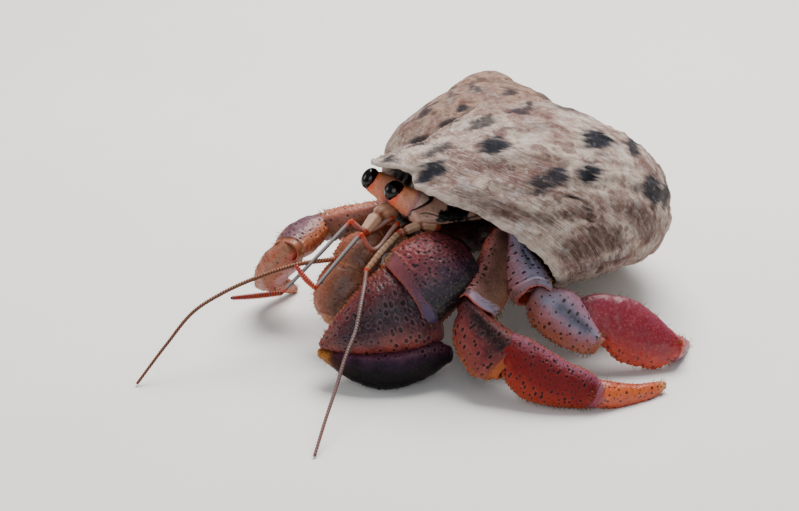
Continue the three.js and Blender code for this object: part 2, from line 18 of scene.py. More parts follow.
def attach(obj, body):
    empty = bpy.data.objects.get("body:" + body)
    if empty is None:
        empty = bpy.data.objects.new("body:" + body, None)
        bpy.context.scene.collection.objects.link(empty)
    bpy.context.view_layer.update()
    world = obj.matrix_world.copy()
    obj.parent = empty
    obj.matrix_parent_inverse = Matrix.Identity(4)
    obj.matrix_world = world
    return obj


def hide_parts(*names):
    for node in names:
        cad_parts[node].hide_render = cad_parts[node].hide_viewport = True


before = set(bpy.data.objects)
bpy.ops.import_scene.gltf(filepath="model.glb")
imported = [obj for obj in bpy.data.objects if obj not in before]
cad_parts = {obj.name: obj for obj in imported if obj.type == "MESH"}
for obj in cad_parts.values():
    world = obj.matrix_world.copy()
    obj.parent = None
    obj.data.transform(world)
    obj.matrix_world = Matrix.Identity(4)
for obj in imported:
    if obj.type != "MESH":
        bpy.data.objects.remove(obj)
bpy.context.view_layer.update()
MM = 0.001                                  # the tables below are in millimetres, Blender is in metres
CENTRE = np.array([-6.22, -5.43, 0.0])      # the part's own shift onto the middle of its box

# %% [markdown]
# ## Camera, light and floor
# The animal is seen from its front left and from above, with a long lens, so the perspective is mild.
# A camera's matrix has its own right, up and backward directions as columns, so we write those three
# directions down instead of turning angles. The light is that of an overcast beach: a big soft sky
# above, a weaker fill from the camera's side, and a pale floor that throws light back from below.

# %% Camera, light and floor
BACKWARD = Vector((0.694, -0.583, 0.4226)).normalized()
RIGHTWARD = Vector((0.643, 0.766, 0.0)).normalized()
UPWARD = BACKWARD.cross(RIGHTWARD).normalized()
AIM_HEIGHT = 16.2                           # millimetres above the floor, in the middle of the animal
AIM = (Vector((0.0, 0.0, AIM_HEIGHT)) + Vector(CENTRE)) * MM
CAMERA_DISTANCE = 0.400
CAMERA_LENS = 100
NEAREST_SEEN = 0.01
SKY_TINT = (0.86, 0.92, 1.0, 1)
SKY_STRENGTH = 0.28
# Each lamp: place in metres, width in metres, watts and tint.
LAMPS = {
    "sky_light": ((-0.10, 0.16, 0.42), 0.34, 4.7, (1.0, 0.98, 0.96)),
    "fill_light": ((0.36, -0.30, 0.26), 0.30, 0.75, (0.93, 0.96, 1.0)),
    "front_light": ((-0.28, -0.34, 0.20), 0.22, 0.55, (1.0, 0.98, 0.95)),
}


def aim_matrix(place, right, up, back):
    """The matrix of a camera or lamp at a place, from the directions of its own axes."""
    turn = Matrix((right, up, back)).transposed()
    return Matrix.Translation(place) @ turn.to_4x4()


def make_camera():
    """A long lens that looks at the aim point from the front left."""
    data = bpy.data.cameras.new("camera")
    data.lens = CAMERA_LENS
    data.clip_start = NEAREST_SEEN
    camera = bpy.data.objects.new("camera", data)
    camera.matrix_world = aim_matrix(AIM + BACKWARD * CAMERA_DISTANCE, RIGHTWARD, UPWARD, BACKWARD)
    bpy.context.collection.objects.link(camera)
    bpy.context.scene.camera = camera


def area_light(name, place, size, watts, tint):
    """A square lamp that looks at the middle of the animal."""
    data = bpy.data.lights.new(name, "AREA")
    data.size = size
    data.energy = watts
    data.color = tint
    lamp = bpy.data.objects.new(name, data)
    back = (Vector(place) - AIM).normalized()
    right = Vector((0, 0, 1)).cross(back).normalized()
    lamp.matrix_world = aim_matrix(Vector(place), right, back.cross(right), back)
    bpy.context.collection.objects.link(lamp)


def make_world():
    """An even pale sky, so that no side of the animal is black."""
    world = bpy.data.worlds.new("sky")
    world.use_nodes = True
    background = world.node_tree.nodes["Background"]
    background.inputs["Color"].default_value = SKY_TINT
    background.inputs["Strength"].default_value = SKY_STRENGTH
    bpy.context.scene.world = world


make_camera()
make_world()
for name, (place, size, watts, tint) in LAMPS.items():
    area_light(name, place, size, watts, tint)
camera_place = bpy.context.scene.camera.location
print("camera at", [round(v, 3) for v in camera_place], "and", len(LAMPS), "lamps")

# %% [markdown]
# ## Colours and small node helpers
# Colours are picked on screen as sRGB, but shaders work with linear light, so one function turns a
# hexadecimal colour into linear values. The other helpers add one node each and return its output,
# which keeps the recipes of the finishes short enough to read.


# %% Node helpers
DEEPEN = 1.55            # the soft film curve of the picture lifts dark tones, so they start darker


def linear(text):
    """A colour such as '#a06050' as the linear RGBA values that shaders use."""
    parts = [int(text[i:i + 2], 16) / 255 for i in (1, 3, 5)]
    light = [v / 12.92 if v < 0.04045 else ((v + 0.055) / 1.055) ** 2.4 for v in parts]
    return tuple(v**DEEPEN for v in light) + (1.0,)


class Finish:
    """A material under construction: each method adds a node and returns the output to use."""

    def __init__(self, name, coat=0.0, specular=0.5, coat_rough=0.1):
        self.material = bpy.data.materials.new(name)
        self.material.use_nodes = True
        self.nodes = self.material.node_tree.nodes
        self.links = self.material.node_tree.links
        self.shader = self.nodes["Principled BSDF"]
        self.shader.inputs["Coat Weight"].default_value = coat
        self.shader.inputs["Coat Roughness"].default_value = coat_rough
        self.shader.inputs["Specular IOR Level"].default_value = specular
        self.place = self.nodes.new("ShaderNodeTexCoord").outputs["Object"]

    def feed(self, socket, value):
        """Links an output to a socket, or sets the socket to a colour or a number."""
        if isinstance(value, bpy.types.NodeSocket):
            self.links.new(value, socket)
        elif isinstance(value, str):
            socket.default_value = linear(value)
        else:
            socket.default_value = value

    def stored(self, name, vector=False):
        """The value that the mesh keeps at each point under a name."""
        node = self.nodes.new("ShaderNodeAttribute")
        node.attribute_name = name
        return node.outputs["Vector" if vector else "Fac"]

    def scaled(self, sizes, place=None):
        """Coordinates divided by three sizes."""
        node = self.nodes.new("ShaderNodeMapping")
        node.vector_type = "POINT"
        node.inputs["Scale"].default_value = [1 / v for v in sizes]
        self.feed(node.inputs["Vector"], place or self.place)
        return node.outputs["Vector"]

    def noise(self, size, detail=3, rough=0.55, place=None):
        """Cloudy noise whose patches are about `size` millimetres across, or `size` units of a place."""
        node = self.nodes.new("ShaderNodeTexNoise")
        scale = MM if place is None else 1.0
        sizes = size if isinstance(size, tuple) else (size, size, size)
        self.feed(node.inputs["Vector"], self.scaled([v * scale for v in sizes], place))
        node.inputs["Scale"].default_value = 1.0
        node.inputs["Detail"].default_value = detail
        node.inputs["Roughness"].default_value = rough
        return node.outputs["Fac"]

    def cells(self, size):
        """Distance from the nearest of many scattered centres, about `size` millimetres apart."""
        node = self.nodes.new("ShaderNodeTexVoronoi")
        self.feed(node.inputs["Vector"], self.scaled([size * MM] * 3))
        node.inputs["Scale"].default_value = 1.0
        return node.outputs["Distance"]

    def calc(self, operation, a, b, clamp=False):
        """One step of arithmetic, such as "ADD" or "MULTIPLY"."""
        node = self.nodes.new("ShaderNodeMath")
        node.operation = operation
        node.use_clamp = clamp
        self.feed(node.inputs[0], a)
        self.feed(node.inputs[1], b)
        return node.outputs[0]

    def spread(self, value, low, high, to_low=0.0, to_high=1.0):
        """Maps a value from one range to another, smoothly and clamped."""
        node = self.nodes.new("ShaderNodeMapRange")
        node.interpolation_type = "SMOOTHSTEP"
        self.feed(node.inputs["Value"], value)
        for name, number in (("From Min", low), ("From Max", high), ("To Min", to_low), ("To Max", to_high)):
            node.inputs[name].default_value = number
        return node.outputs["Result"]

    def ramp(self, value, stops):
        """A colour ramp from (place, colour) stops."""
        node = self.nodes.new("ShaderNodeValToRGB")
        elements = node.color_ramp.elements
        while len(elements) < len(stops):
            elements.new(0.5)
        for element, (position, tint) in zip(elements, stops):
            element.position = position
            element.color = linear(tint)
        self.feed(node.inputs["Fac"], value)
        return node.outputs["Color"]

    def mix(self, share, a, b):
        """Colour `a` where the share is 0 and colour `b` where it is 1."""
        node = self.nodes.new("ShaderNodeMix")
        node.data_type = "RGBA"
        self.feed(node.inputs[0], share)
        self.feed(node.inputs[6], a)
        self.feed(node.inputs[7], b)
        return node.outputs[2]

    def bump(self, height, depth, strength=1.0, under=None):
        """Relief `depth` millimetres deep, on top of any relief `under` it."""
        node = self.nodes.new("ShaderNodeBump")
        node.inputs["Distance"].default_value = depth * MM
        node.inputs["Strength"].default_value = strength
        self.feed(node.inputs["Height"], height)
        if under is not None:
            self.feed(node.inputs["Normal"], under)
        return node.outputs["Normal"]

    def done(self, base, rough, normal=None):
        """Plugs the finished colour, roughness and relief into the shader."""
        self.feed(self.shader.inputs["Base Color"], base)
        self.feed(self.shader.inputs["Roughness"], rough)
        if normal is not None:
            self.feed(self.shader.inputs["Normal"], normal)
        return self.material


FLOOR_HALF_WIDTH = 3.0
FLOOR_DROP = 0.00002     # the floor lies a hair below the feet, so that no two faces fight for one place


def make_floor():
    """A wide pale floor at the level that the feet stand on."""
    finish = Finish("floor_finish", specular=0.2)
    base = finish.mix(finish.noise(60.0), "#f0efec", "#f6f5f2")
    material = finish.done(base, 0.9)
    bm = bmesh.new()
    bmesh.ops.create_grid(bm, x_segments=2, y_segments=2, size=FLOOR_HALF_WIDTH)
    bmesh.ops.translate(bm, vec=(0, 0, -FLOOR_DROP), verts=bm.verts)
    mesh = bpy.data.meshes.new("floor")
    bm.to_mesh(mesh)
    bm.free()
    mesh.materials.append(material)
    floor = bpy.data.objects.new("floor", mesh)
    bpy.context.collection.objects.link(floor)


make_floor()
print("materials so far:", len(bpy.data.materials))

# %% [markdown]
# ## Smooth steps and noise for shapes
# Nothing on an animal is quite straight or quite even. A few small functions of numpy arrays give us
# that: a smooth step, a smooth curve through a few stations, scattered cells and slow waves. Python's
# own sine, seeded generators and fixed keys make them the same on each run. The same could be done
# with Displace modifiers and textures, but here a shape and its colour have to agree point by point.


# %% Smooth steps and noise
HASH_KEYS = ((127.1, 311.7, 74.7), (269.5, 183.3, 246.1), (113.5, 271.9, 124.6))
HASH_GAIN = 43758.5453
FAR = 9.0                # more than any distance that the patterns look for


def ease(value, low, high):
    """0 at low and 1 at high, smooth between them. High may be the smaller of the two."""
    s = np.clip((value - low) / (high - low), 0.0, 1.0)
    return s * s * (3 - 2 * s)


def through(t, places, values):
    """A smooth curve through the values at the given places."""
    places = np.asarray(places, float)
    values = np.asarray(values, float)
    slopes = np.gradient(values, places, axis=0)
    i = np.clip(np.searchsorted(places, t, side="right") - 1, 0, len(places) - 2)
    span = places[i + 1] - places[i]
    s = ((t - places[i]) / span)[:, None]
    span = span[:, None]
    start = (2 * s**3 - 3 * s**2 + 1) * values[i] + (s**3 - 2 * s**2 + s) * slopes[i] * span
    end = (-2 * s**3 + 3 * s**2) * values[i + 1] + (s**3 - s**2) * slopes[i + 1] * span
    return start + end


def shuffled(value):
    """A number from 0 to 1 that looks random but is always the same for the same value."""
    return np.modf(np.abs(np.sin(value) * HASH_GAIN))[0]


def speckle(points, size, seed):
    """Distance from each point to the nearest of scattered centres `size` apart, in sizes."""
    p = np.asarray(points) / size
    cell = np.floor(p)
    nearest = np.full(len(p), FAR)
    for step in itertools.product((-1, 0, 1), repeat=3):
        corner = cell + step
        centre = corner + np.stack([shuffled(corner @ key + seed) for key in HASH_KEYS], 1)
        nearest = np.minimum(nearest, np.linalg.norm(p - centre, axis=1))
    return nearest


def drift(points, size, seed):
    """A smooth random field of about -1 to 1, with waves about `size` long."""
    rng = np.random.default_rng(seed)
    waves = 14
    total = np.zeros(len(points))
    for _ in range(waves):
        way = rng.normal(size=3)
        way *= 2 * math.pi / size * rng.uniform(0.6, 1.5) / np.linalg.norm(way)
        total += np.sin(points @ way + rng.uniform(0, 2 * math.pi))
    return total / math.sqrt(waves)


def wrap(angle):
    """The same angle between minus half a turn and half a turn."""
    return (angle + math.pi) % (2 * math.pi) - math.pi


test_line = np.linspace((0, 0, 0), (100, 0, 0), 200)
print("drift runs from", round(float(drift(test_line, size=5.0, seed=1).min()), 1),
      "to", round(float(drift(test_line, size=5.0, seed=1).max()), 1))

# %% [markdown]
# ## Shapes from a reshaped ball
# Every piece of this animal is one closed skin with two ends: a limb segment, an eye, a feeler, and
# even the shell, which runs from the tip of the spire, over the lip and back into its own hollow. So
# each starts as `create_uvsphere`, a closed ball of neat rings, and its points are moved by a
# formula. The ball already has good faces, so we never write a face list. Two numbers say where a
# point of the ball is: how far it is from pole to pole, and its angle round the middle.


# %% Balls and finished pieces
def ball(name, rings, sides):
    """A closed ball as a mesh, with each point's place from pole to pole (0 to 1) and its angle."""
    bm = bmesh.new()
    bmesh.ops.create_uvsphere(bm, u_segments=sides, v_segments=rings, radius=1.0)
    mesh = bpy.data.meshes.new(name)
    bm.to_mesh(mesh)
    bm.free()
    co = read_points(mesh)
    place = np.round(np.arccos(np.clip(co[:, 2], -1, 1)) / math.pi * rings) / rings
    step = np.round(np.arctan2(co[:, 1], co[:, 0]) / (2 * math.pi) * sides) % sides
    return mesh, place, step / sides * 2 * math.pi


def read_points(mesh):
    """The places of a mesh's points, one row each."""
    co = np.empty(len(mesh.vertices) * 3)
    mesh.vertices.foreach_get("co", co)
    return co.reshape(-1, 3)


def write_points(mesh, points):
    """Moves all the points of a mesh."""
    mesh.vertices.foreach_set("co", np.asarray(points, np.float32).ravel())
    mesh.update()


def normals(mesh):
    """The direction out of the surface at each point."""
    out = np.empty(len(mesh.vertices) * 3)
    mesh.vertices.foreach_get("normal", out)
    return out.reshape(-1, 3)


def face_outward(mesh):
    """Turns the faces round if the closed mesh is inside out."""
    bm = bmesh.new()
    bm.from_mesh(mesh)
    if bm.calc_volume(signed=True) < 0:
        bmesh.ops.reverse_faces(bm, faces=bm.faces)
    bm.to_mesh(mesh)
    bm.free()


def keep_value(mesh, name, values):
    """Stores one number or one vector for each point of the mesh."""
    values = np.asarray(values, np.float32)
    if values.ndim == 1:
        mesh.attributes.new(name, "FLOAT", "POINT").data.foreach_set("value", values)
    else:
        mesh.attributes.new(name, "FLOAT_VECTOR", "POINT").data.foreach_set("vector", values.ravel())


pieces = {}


def finish_piece(mesh, points, material, nodes):
    """Moves a mesh in part millimetres to its place in metres and hides the CAD nodes it stands in for."""
    points = np.asarray(points) + CENTRE
    points[:, 2] = np.maximum(points[:, 2], 0.0)
    write_points(mesh, points * MM)
    mesh.shade_smooth()
    mesh.materials.clear()
    mesh.materials.append(material)
    piece = bpy.data.objects.new(mesh.name, mesh)
    bpy.context.collection.objects.link(piece)
    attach(piece, "root")
    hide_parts(*nodes)
    pieces[mesh.name] = piece
    return piece


print("each piece rides on the body root and shifts by", list(CENTRE), "mm")

# %% [markdown]
# ## The snail shell
# The crab lives in a worn turban shell. A snail adds to its shell at the mouth, always in the same
# shape and a little bigger, so the shell is one section carried round a tilted axis while it grows by
# a fixed factor each turn. We could spin a profile, but a spin keeps its size. Instead each ring of
# the ball gets a coil angle, 0 at the lip and negative towards the tip of the spire. The last rings
# turn over the lip and run back inside, which gives the wall its thickness and the mouth its hollow.

# %% Shell dimensions
SHELL = {
    "apex": (-20.70, 38.60, 37.94), "tilt": (-0.0552, -0.6131, -0.9574), "radius": 25.76, "drop": 35.03,
    "half_width": 15.43, "stretch": 1.054, "growth": 2.365, "lean": 0.169, "shear_up": 0.266,
    "shear_down": 0.054, "square": 2.56, "shoulder": 0.75, "shoulder_angle": 1.9, "shoulder_width": 0.6,
    "base": 0.1, "base_angle": -0.9, "base_width": 0.6, "fade": 0.8, "lead": 0.627, "whorls": 2.6,
    "wall": 1.7,
}
SHELL_RINGS = 400
SHELL_SIDES = 230
CAVITY_BACK = 3.7               # how far the hollow reaches back from the lip, in radians of coil
OLDER_TURN = -7.2               # coil angle from which the rings get wider apart, on the spire
LIP_PLACE = 0.86                # share of the rings that lies on the outside
LIP_SPAN = 0.035                # share that turns over the lip
WALL_SPAN = 0.02                # share over which the wall thickens behind it
NOTCH = (0.115, 0.46, 0.23)     # a worn notch in the lip above the eyes: depth, section angle, width
TONGUE = (0.008, 0.92, 0.34)    # the part of the lip above the notch that reaches further out
LIP_ROUND = 0.012
LIP_THICK = 0.75
shell_turn = np.array(Matrix.Rotation(Vector(SHELL["tilt"]).length, 3, Vector(SHELL["tilt"]).normalized()))


def bulge(angle, middle, width):
    """A smooth bump of height 1 round one angle of a section."""
    return np.exp(-((wrap(angle - middle) / width) ** 2))


def shell_points(coil, around, shrink, shoulder, fill):
    """Points of the shell's tube at coil and section angles. A fill of 0 shuts the section."""
    s = SHELL
    c, n = np.cos(around), np.sin(around)
    corner = shoulder * ease(-coil, 0.0, s["fade"]) * bulge(around, s["shoulder_angle"], s["shoulder_width"])
    corner = corner + s["base"] * bulge(around, s["base_angle"], s["base_width"])
    reach = (np.abs(c) ** s["square"] + np.abs(n) ** s["square"]) ** (-1 / s["square"]) * (1 + corner)
    up = s["stretch"] * s["half_width"] * reach * n
    out = s["half_width"] * reach * c
    out = out - s["shear_up"] * np.maximum(up, 0) + s["shear_down"] * np.minimum(up, 0)
    inset = (1 - shrink / np.hypot(out, up)) * fill
    lean_c, lean_s = math.cos(s["lean"]), math.sin(s["lean"])
    out, up = (out * lean_c - up * lean_s) * inset, (out * lean_s + up * lean_c) * inset
    angle = coil + s["lead"] * n * fill
    size = s["growth"] ** (angle / (2 * math.pi))
    rho = size * (s["radius"] + out)
    point = np.stack([rho * np.cos(-angle), rho * np.sin(-angle), size * (up - s["drop"])], 1)
    return point @ shell_turn.T + np.array(s["apex"])


def shell_path(place, around):
    """From pole to pole: coil angle, distance inside the outer skin, fill, and share of the inside."""
    end = -SHELL["whorls"] * 2 * math.pi
    # rings at: spire tip, whorl above, last whorl, lip, over the lip, hollow, its blind end
    places = [0.0, 0.02, 0.24, LIP_PLACE, LIP_PLACE + LIP_SPAN, 0.98, 1.0]
    coils = [end, end, OLDER_TURN, 0.0, 0.0, -CAVITY_BACK, -CAVITY_BACK - 0.1]
    fills = [0.0, 1.0, 1.0, 1.0, 1.0, 1.0, 0.0]
    coil = np.interp(place, places, coils)
    fill = np.sqrt(np.interp(place, places, fills))
    over = np.clip((place - LIP_PLACE) / LIP_SPAN, 0, 1)    # 0 outside the lip, 1 inside it
    deep = np.clip((place - LIP_PLACE - LIP_SPAN) / WALL_SPAN, 0, 1)
    thick = LIP_THICK + (SHELL["wall"] - LIP_THICK) * deep
    shrink = thick * (1 - np.cos(over * math.pi)) / 2
    coil = coil + LIP_ROUND * np.sin(over * math.pi)
    worn = LIP_ROUND
    for (depth, middle, width), sign in ((NOTCH, 1), (TONGUE, -1)):
        worn = worn + sign * depth * bulge(around, middle, width)
    coil = coil - worn * ease(coil, -0.5, 0.0) * (place > 0.5)
    return coil, shrink, fill, over


lip_ring = shell_points(np.zeros(8), np.linspace(0, 2 * math.pi, 8), 0, 0, 1)
print("mouth of the shell in mm:", np.ptp(lip_ring, axis=0).round(1))

# %% [markdown]
# ## Where the marks of the shell lie
# The old shell carries slate blotches in rows, brown stains and a crack. The black gap between the
# mouth and the older turn is a painted shadow. We could paint an image, but a list of soft ovals stays
# sharp at any size and can be changed by hand. On the side that faces the viewer an oval is placed as
# it looks, in millimetres right of and above the aim point. On the far side the same kind of oval is
# scattered in coil and section angles with a seeded generator. Noise makes all their edges ragged.

# %% Marks of the shell
# Each blotch: millimetres to the right of and above the aim point, half-lengths in millimetres, tilt
# in degrees, and strength.
FRONT_BLOTCHES = [
    (5.8, 15.4, 3.1, 1.8, 30, 1.0), (-1.8, 17.4, 1.4, 0.8, 0, 0.9), (17.0, 19.8, 2.8, 1.5, 5, 1.0),
    (28.2, 14.3, 2.6, 1.8, 10, 0.95), (25.5, 12.9, 2.4, 1.6, 15, 0.9), (34.1, 14.9, 2.4, 1.9, -20, 1.0),
    (35.5, 20.8, 2.8, 2.0, -10, 1.0), (41.9, 19.7, 1.2, 2.0, 25, 0.95), (45.5, 12.0, 1.6, 3.2, 8, 0.95),
    (47.6, 11.1, 0.9, 2.6, 5, 0.85), (42.3, 12.3, 1.2, 1.0, 0, 0.5), (23.3, 27.3, 0.8, 0.6, 0, 0.8),
    (30.1, 26.8, 2.6, 0.8, -8, 0.6), (15.0, 23.9, 2.8, 1.0, 20, 0.85), (8.7, 24.2, 2.4, 0.8, 24, 0.8),
    (6.8, 19.2, 2.5, 0.8, 22, 0.8), (21.8, 26.2, 2.2, 0.8, 8, 0.8), (11.1, 26.7, 1.0, 0.8, 20, 0.95),
    # The two weak ovals at 13.0 and 18.0 mm to the right darken the left of the lip to a mauve grey.
    (3.2, 20.9, 2.4, 0.8, 28, 0.85), (13.0, 10.7, 4.6, 1.3, -14, 0.4), (18.0, 17.4, 4.4, 0.8, 5, 0.35),
    (13.6, 30.2, 1.2, 0.6, -20, 0.7), (4.4, 25.8, 0.6, 1.6, -35, 0.8), (19.9, 29.8, 1.2, 0.6, -20, 0.8),
    (9.5, 28.9, 0.8, 0.6, 0, 0.6),
]
CRACK = [(29.4, 10.9), (32.0, 10.4), (34.1, 8.9), (34.5, 6.8), (35.0, 5.3)]
# Other marks at (coil angle, section angle, half-lengths along both, slant between them, strength).
# painted shadow: the black gap between the mouth and the older turn, where only shade lies
SHADOW_GAP_SPOTS = [(-4.98, -0.90, 0.30, 0.66, 0.0, 1.0)]       # the black gap
RUST_BLOTCHES = [
    (-0.23, -0.80, 0.12, 0.11, 0.0, 0.7), (-0.41, -0.72, 0.11, 0.12, 0.0, 0.7),
    (-0.29, -1.04, 0.15, 0.10, 0.0, 0.6), (-0.29, -0.42, 0.12, 0.06, 0.0, 0.7),
    (-0.12, -0.30, 0.08, 0.12, 0.0, 0.5), (-0.75, -0.60, 0.12, 0.20, 0.0, 0.5),
    (-0.62, 0.25, 0.17, 0.12, 0.0, 0.4), (-1.00, 0.85, 0.20, 0.12, 0.0, 0.35),
    (-0.16, 1.05, 0.08, 0.15, 0.0, 0.35),
]


FAR_SIDE_SEED = 11
FAR_SIDE_COILS = np.linspace(-1.9, -9.0, 26)


def far_side_blotches():
    """Blotches of the same kind for the sides and turns of the shell that the first list leaves bare."""
    rng = np.random.default_rng(FAR_SIDE_SEED)
    spots = []
    for turn in FAR_SIDE_COILS:
        spots.append((turn, rng.uniform(-1.1, 1.5), rng.uniform(0.07, 0.13), rng.uniform(0.08, 0.14),
                      rng.uniform(-1.0, 0.0), rng.uniform(0.6, 1.0)))
    return spots


def as_seen(points):
    """Millimetres to the right of and above the aim point, as points look from the camera's place."""
    off = points - np.array([0.0, 0.0, AIM_HEIGHT])
    reach = CAMERA_DISTANCE / (CAMERA_DISTANCE - off @ np.array(BACKWARD) * MM)
    return off @ np.array(RIGHTWARD) * reach, off @ np.array(UPWARD) * reach


def blotted(right, up, rough):
    """How strongly the blotches of the front side cover each point, with a ragged outline."""
    total = np.zeros(len(right))
    for middle, height, long_half, short_half, tilt, strength in FRONT_BLOTCHES:
        turn = math.radians(tilt)
        over, rise = right - middle, up - height
        length = (over * math.cos(turn) + rise * math.sin(turn)) / long_half
        width = (rise * math.cos(turn) - over * math.sin(turn)) / short_half
        total = np.maximum(total, strength * ease(np.hypot(length, width) + 0.25 * rough, 1.30, 0.72))
    return total


def marked(coil, around, spots, rough):
    """How strongly a list of soft oval marks covers each point, with a ragged outline."""
    total = np.zeros(len(coil))
    around = wrap(around)
    for middle, section, half_coil, half_around, slant, strength in spots:
        ahead = coil - middle
        away = np.hypot(ahead / half_coil, (around - section - slant * ahead) / half_around)
        total = np.maximum(total, strength * ease(away + 0.28 * rough, 1.48, 0.86))
    return total


def crack_distance(right, up):
    """Millimetres from each point, as it is seen, to the bent line of the crack."""
    nearest = np.full(len(right), FAR)
    for start, end in zip(CRACK, CRACK[1:]):
        way = np.subtract(end, start)
        off = np.stack([right, up], 1) - start
        share = np.clip(off @ way / (way @ way), 0, 1)
        nearest = np.minimum(nearest, np.linalg.norm(off - share[:, None] * way, axis=1))
    return nearest


print("blotches:", len(FRONT_BLOTCHES), "in front and", len(far_side_blotches()), "behind")

# %% [markdown]
# ## The finish of the shell
# Sun and sand have worn the glaze away. The recipe starts with chalky pink and grey clouds, lays
# growth lines over them that run along the lip, and adds the stored marks one by one. The lines read
# a flat map of the shell, `skin`, so that they bend with the coil. The clouds read Object coordinates,
# because they need no direction. It is dull, so it has no coat and little specular.


# %% Finish of the shell
def shell_finish():
    """Chalky, worn shell: growth lines along the lip, pinkish and brown clouds, blue-black blotches."""
    f = Finish("shell_worn", coat=0.0, specular=0.15)
    skin = f.stored("skin", vector=True)
    lines = f.noise((0.26, 4.0, 1.0), 4, 0.66, skin)
    broad = f.noise((1.1, 5.0, 1.0), 3, 0.55, skin)
    lined = f.stored("lined")
    clouds = f.noise(8.0, 4, 0.6)
    patches = f.noise(4.2, 4, 0.6)
    mottle = f.noise(1.3, 4, 0.65)
    grit = f.noise(0.35, 3, 0.6)
    base = f.ramp(clouds, [(0.32, "#9a7f78"), (0.47, "#b6a49a"), (0.58, "#d0c4b8"), (0.70, "#b09c9c")])
    base = f.mix(f.spread(patches, 0.52, 0.62, 0, 0.70), base, "#8a6c68")
    base = f.mix(f.spread(patches, 0.46, 0.34, 0, 0.5), base, "#d5cecb")
    base = f.mix(f.spread(mottle, 0.52, 0.68, 0, 0.5), base, "#826662")
    base = f.mix(f.spread(mottle, 0.46, 0.32, 0, 0.4), base, "#dfd8d5")
    base = f.mix(f.calc("MULTIPLY", f.spread(lines, 0.50, 0.62, 0, 0.60), lined), base, "#5c4a4a")
    base = f.mix(f.calc("MULTIPLY", f.spread(lines, 0.46, 0.36, 0, 0.40), lined), base, "#e3dcd9")
    base = f.mix(f.spread(broad, 0.55, 0.68, 0, 0.28), base, "#76575a")
    worn = f.ramp(patches, [(0.36, "#4e382f"), (0.46, "#86675a"), (0.56, "#b59c8e"), (0.68, "#74574a")])
    base = f.mix(f.calc("MULTIPLY", f.stored("spire"), f.spread(clouds, 0.38, 0.56, 0.35, 0.85)), base, worn)
    base = f.mix(f.calc("MULTIPLY", f.stored("rust"), f.spread(broad, 0.3, 0.6, 0.45, 0.95)), base, "#54372f")
    base = f.mix(f.calc("MULTIPLY", f.stored("lip"), 0.55), base, "#c9bfb7")
    streak = f.spread(mottle, 0.30, 0.42, 0.8, 1.0)
    dark = f.calc("MULTIPLY", f.stored("dark"), streak)
    base = f.mix(dark, base, f.ramp(patches, [(0.38, "#2b2e35"), (0.55, "#4c4e58"), (0.70, "#2e2b2f")]))
    base = f.mix(f.stored("crack"), base, "#2e1e1a")
    # painted shade: inside the mouth the colour runs from the pale lip to near black deeper in the hollow
    hollow_shade = f.ramp(f.stored("deep"), [(0.0, "#988a7c"), (0.06, "#3a2c26"), (0.25, "#140e0c")])
    base = f.mix(f.stored("inside"), base, hollow_shade)
    base = f.mix(f.spread(grit, 0.55, 0.75, 0, 0.40), base, "#54423c")
    # painted shadow: the gap between the mouth and the older turn is painted near black
    base = f.mix(f.stored("shadow_gap"), base, "#050404")
    ridges = f.bump(lines, 0.20, 0.9)
    normal = f.bump(grit, 0.10, 0.6, ridges)
    return f.done(base, f.spread(grit, 0.3, 0.7, 0.7, 0.9), normal)


print("shell finish ready")

# %% [markdown]
# ## The mesh of the shell
# Now the ball becomes the shell. Every point gets its coil and section angle and goes to its place.
# Then it moves in or out by a relief of low swellings, growth steps, the crack and the sunken gap, and
# the points of the lip wander forward and back. Each mark is also kept as a value for the finish, which
# paints the gap near black as a painted shadow.

# %% Mesh of the shell
SKIN_ALONG = 36.0        # millimetres of the flat map for a radian of coil, and for a radian of section
SKIN_AROUND = 24.0
# How far each kind of relief stands out or goes in, in millimetres.
SHELL_RELIEF = {"swellings": 0.24, "ragged": 0.13, "steps": 0.12, "grain": 0.06, "crack": 0.28,
                "blotches": 0.08, "shadow_gap": 3.4}


